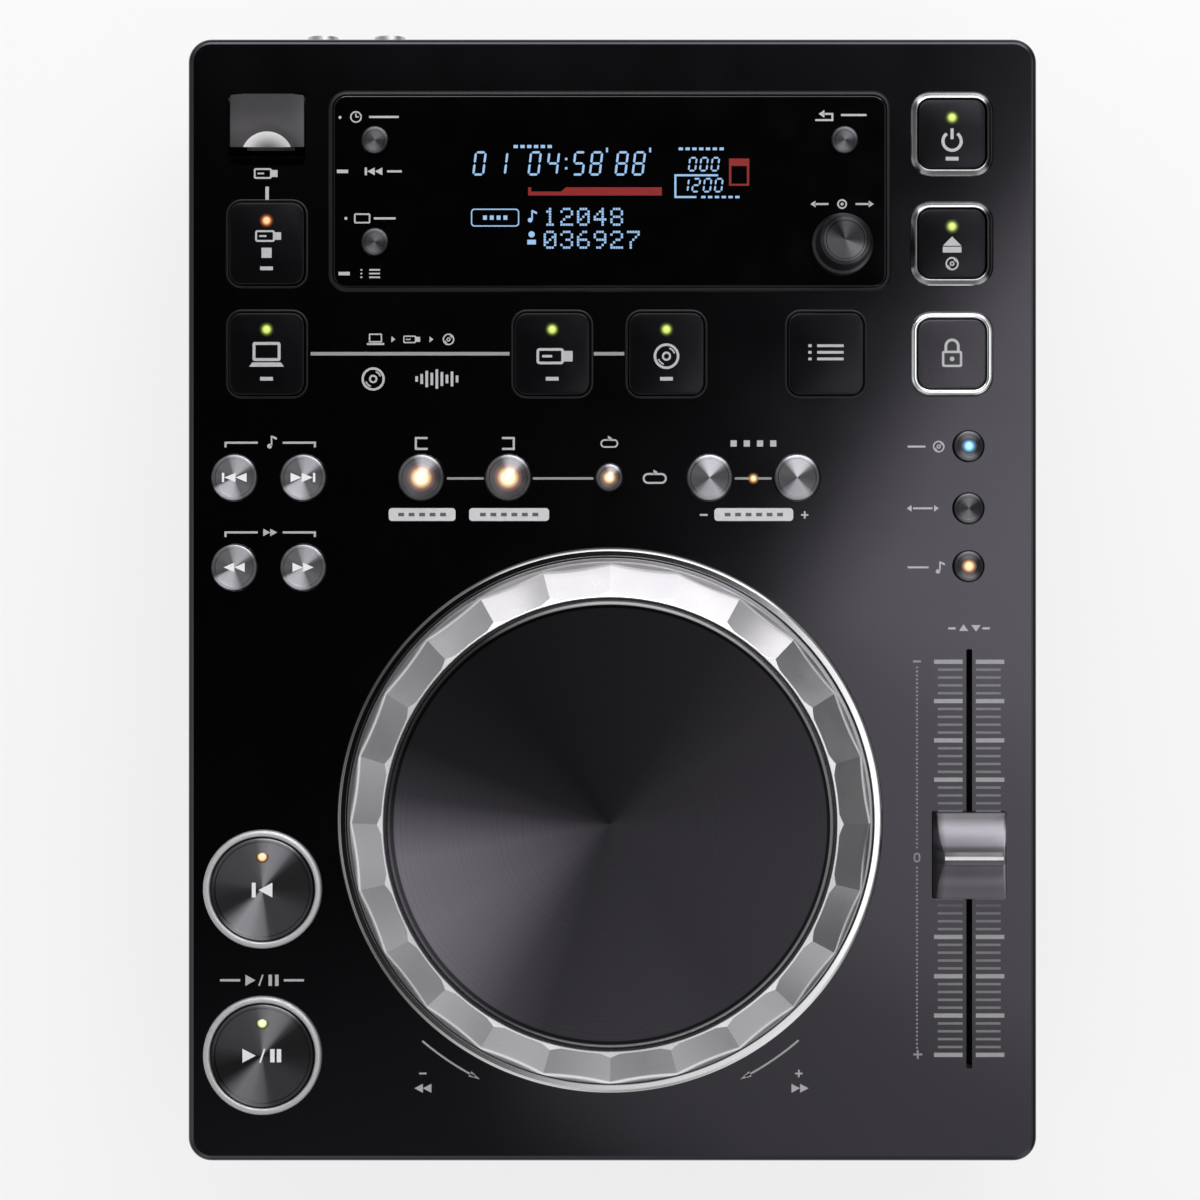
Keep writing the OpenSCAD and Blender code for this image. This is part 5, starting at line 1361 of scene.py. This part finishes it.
def cue_mark(ink):
    ink.area(triangle(3.6, 3.8, (0.8, -0.2), 180))
    ink.bar(1.0, 3.8, (-2.2, -0.2))


def play_mark(ink):
    ink.area(triangle(3.4, 3.6, (-3.4, 0)))
    ink.stroke([(-0.6, -1.8), (0.6, 1.8)], 0.45)
    for x in (2.6, 4.3):
        ink.bar(1.15, 3.4, (x, 0))


KEY_MARKS = {
    "power_key": power_mark,
    "eject_key": eject_mark,
    "beat_lock_key": lock_mark,
    "playlist_key": lambda ink: ink.put(mark_list, (0, 0.4), 9.0, 1.7, 0.7),
    "disc_source_key": lambda ink: ink.put(mark_disc, (0, -0.6), 3.3, 0.65),
    "usb_source_key": lambda ink: ink.put(mark_stick, (-0.5, -0.6), size=1.6),
    "computer_source_key": lambda ink: ink.put(mark_laptop, (0, -0.3)),
    "usb_stop_key": stop_mark,
    "track_back_key": lambda ink: ink.put(mark_skip, turn=180),
    "track_next_key": mark_skip,
    "search_back_key": lambda ink: ink.put(mark_wind, turn=180),
    "search_forward_key": mark_wind,
    "cue_key": cue_mark,
    "play_key": play_mark,
}
DASHED_KEYS = ["power_key", "disc_source_key", "usb_source_key", "computer_source_key", "usb_stop_key"]


def key_marks():
    """Marks on the keys; those of the turned keys lie in their dishes. A dash stands for a label."""
    dash_w, dash_h, dash_y = 3.3, 0.95, -6.4
    for node, mark in KEY_MARKS.items():
        x, y, z = middle(node)
        finish = WHITE
        if node not in FRAMED_KEYS + PLAIN_KEYS:
            z, finish = z - dish_depth(node), BRIGHT_WHITE
        ink = Ink(node + "_mark", z, finish, BODY_OF[node], (x, y))
        if node in DASHED_KEYS:
            ink.bar(dash_w, dash_h, (0, dash_y))
        mark(ink)
        ink.done()


# ---- Stage, in metres ----

CAMERA_AT = (-0.0032, -0.00375, 1.038)


def in_scene(name, data, at):
    obj = bpy.data.objects.new(name, data)
    bpy.context.scene.collection.objects.link(obj)
    obj.location = at
    return obj


def area_light(name, at, target, w, h, radiance):
    data = bpy.data.lights.new(name, "AREA")
    data.shape = "RECTANGLE"
    data.size, data.size_y = w, h
    data.energy = radiance * math.pi * w * h
    obj = in_scene(name, data, at)
    obj.rotation_euler = (Vector(target) - Vector(at)).to_track_quat("-Z", "Y").to_euler()
    return obj


def overhead_box():
    """Softbox over the right half, placed where the panel mirrors it to the camera.

    On the panel its rear left edge runs at 60 degrees through one spot, and it fades towards the front
    in three steps, each a lamp of its own.
    """
    lamp_z, step, width, far, turn, radiance = 1.25, 0.01, 0.15, 0.15, math.radians(60), 0.66
    panel_z = FACE * MM
    spread = 1 + (lamp_z - panel_z) / (CAMERA_AT[2] - panel_z)
    along, across = Vector((math.cos(turn), math.sin(turn))), Vector((math.sin(turn), -math.cos(turn)))
    edge = Vector((0.0615, 0.0157))
    for k, near in enumerate((-0.02, -0.09, -0.165)):
        centre = (edge + along * (near + far) / 2 + across * width / 2) * spread
        x, y = CAMERA_AT[0] + centre.x, CAMERA_AT[1] + centre.y
        box = area_light("right_softbox_%d" % (k + 1), (x, y, lamp_z + k * step), (x, y, 0),
                         (far - near) * spread, width * spread, radiance)
        box.rotation_euler = (0, 0, turn)


def lights():
    area_light("rear_softbox", (0.062, 0.44, 0.40), (0.032, -0.02, 0.09), 0.68, 0.28, 2.0)
    area_light("rear_strip", (0.036, 0.38, 0.69), (0.0, -0.02, 0.09), 0.50, 0.15, 5.5)
    overhead_box()


def world():
    """Studio with flags round it, a dark right side and a dark ceiling; white where the camera sees it."""
    made = bpy.data.worlds.new("studio")
    bpy.context.scene.world = made
    made.use_nodes = True
    nodes = Nodes(made.node_tree)
    x, y, z = [nodes.axis(nodes.node("TexCoord").outputs["Generated"], axis) for axis in "XYZ"]
    room = nodes.ramp(z, ((0, 0.95), (0.26, 0.6), (0.42, 0.42), (0.66, 0.45), (0.78, 1), (0.885, 1),
                          (0.93, 0.02), (1, 0.002)))
    room = nodes.mix(1.0, room, nodes.map_range(y, -0.07, -0.17, 0.0, 0.16), "ADD")
    waves = nodes.math("SINE", nodes.math("MULTIPLY_ADD", nodes.math("ARCTAN2", y, x), 6.0, 0.8))
    flags = nodes.math("MULTIPLY_ADD", waves, 0.3, 0.75)
    flags = nodes.math("MULTIPLY", flags, nodes.map_range(x, 0.75, 0.88, 1.0, 0.16))
    room = nodes.mix(1.0, room, flags, "MULTIPLY")
    shown = nodes.mix(nodes.seen("Is Transmission Ray"), room, (1, 1, 1, 1))
    back = nodes.tree.nodes["Background"].inputs
    nodes.feed(back["Color"], shown)
    nodes.feed(back["Strength"], 1.0)


def floor():
    """Pale floor, near white for the camera and in reflections, which keeps the object's soft shadow."""
    reach, shade, glow = 20.0, 0.86, 0.78
    mesh = bpy.data.meshes.new("floor")
    mesh.from_pydata(raised(rect(2 * reach, 2 * reach), 0), [], [(0, 1, 2, 3)])
    in_scene("floor", mesh, (0, 0, 0))
    made = bpy.data.materials.new("floor_white")
    made.use_nodes = True
    nodes = Nodes(made.node_tree)
    nodes.tree.nodes.clear()
    diffuse = nodes.node("BsdfDiffuse", {"Color": (shade, shade, shade, 1)})
    shine = nodes.node("Emission", {"Strength": 1.0})
    share = nodes.math("MULTIPLY", nodes.seen("Is Glossy Ray"), glow)
    both = nodes.node("MixShader", {0: share, 1: diffuse.outputs[0], 2: shine.outputs[0]})
    nodes.node("OutputMaterial", {0: both.outputs[0]})
    mesh.materials.append(made)


def camera():
    data = bpy.data.cameras.new("camera")
    data.lens = 110.7
    data.sensor_width = 36.0
    bpy.context.scene.camera = in_scene("camera", data, CAMERA_AT)


dress_nodes()
for key in FRAMED_KEYS + PLAIN_KEYS:
    square_key(key)
turned_keys()
for key, rear_shine in zip(FRAMED_KEYS, (1.0, 0.6, 1.0)):
    square_frame(key, rear_shine)
for key in ("cue_key", "play_key"):
    round_frame(key)
trim_ring()
scoop_wheel()
plate_seal()
stick_lid()
phono_collars()
lock_pocket()
key_lips()
window_bezel()
fader_cap()
fader_slot()
panel_marks()
fader_scale()
window_marks()
display()
key_marks()
lamps()
lights()
world()
floor()
camera()
bpy.context.scene.view_settings.view_transform = "Standard"
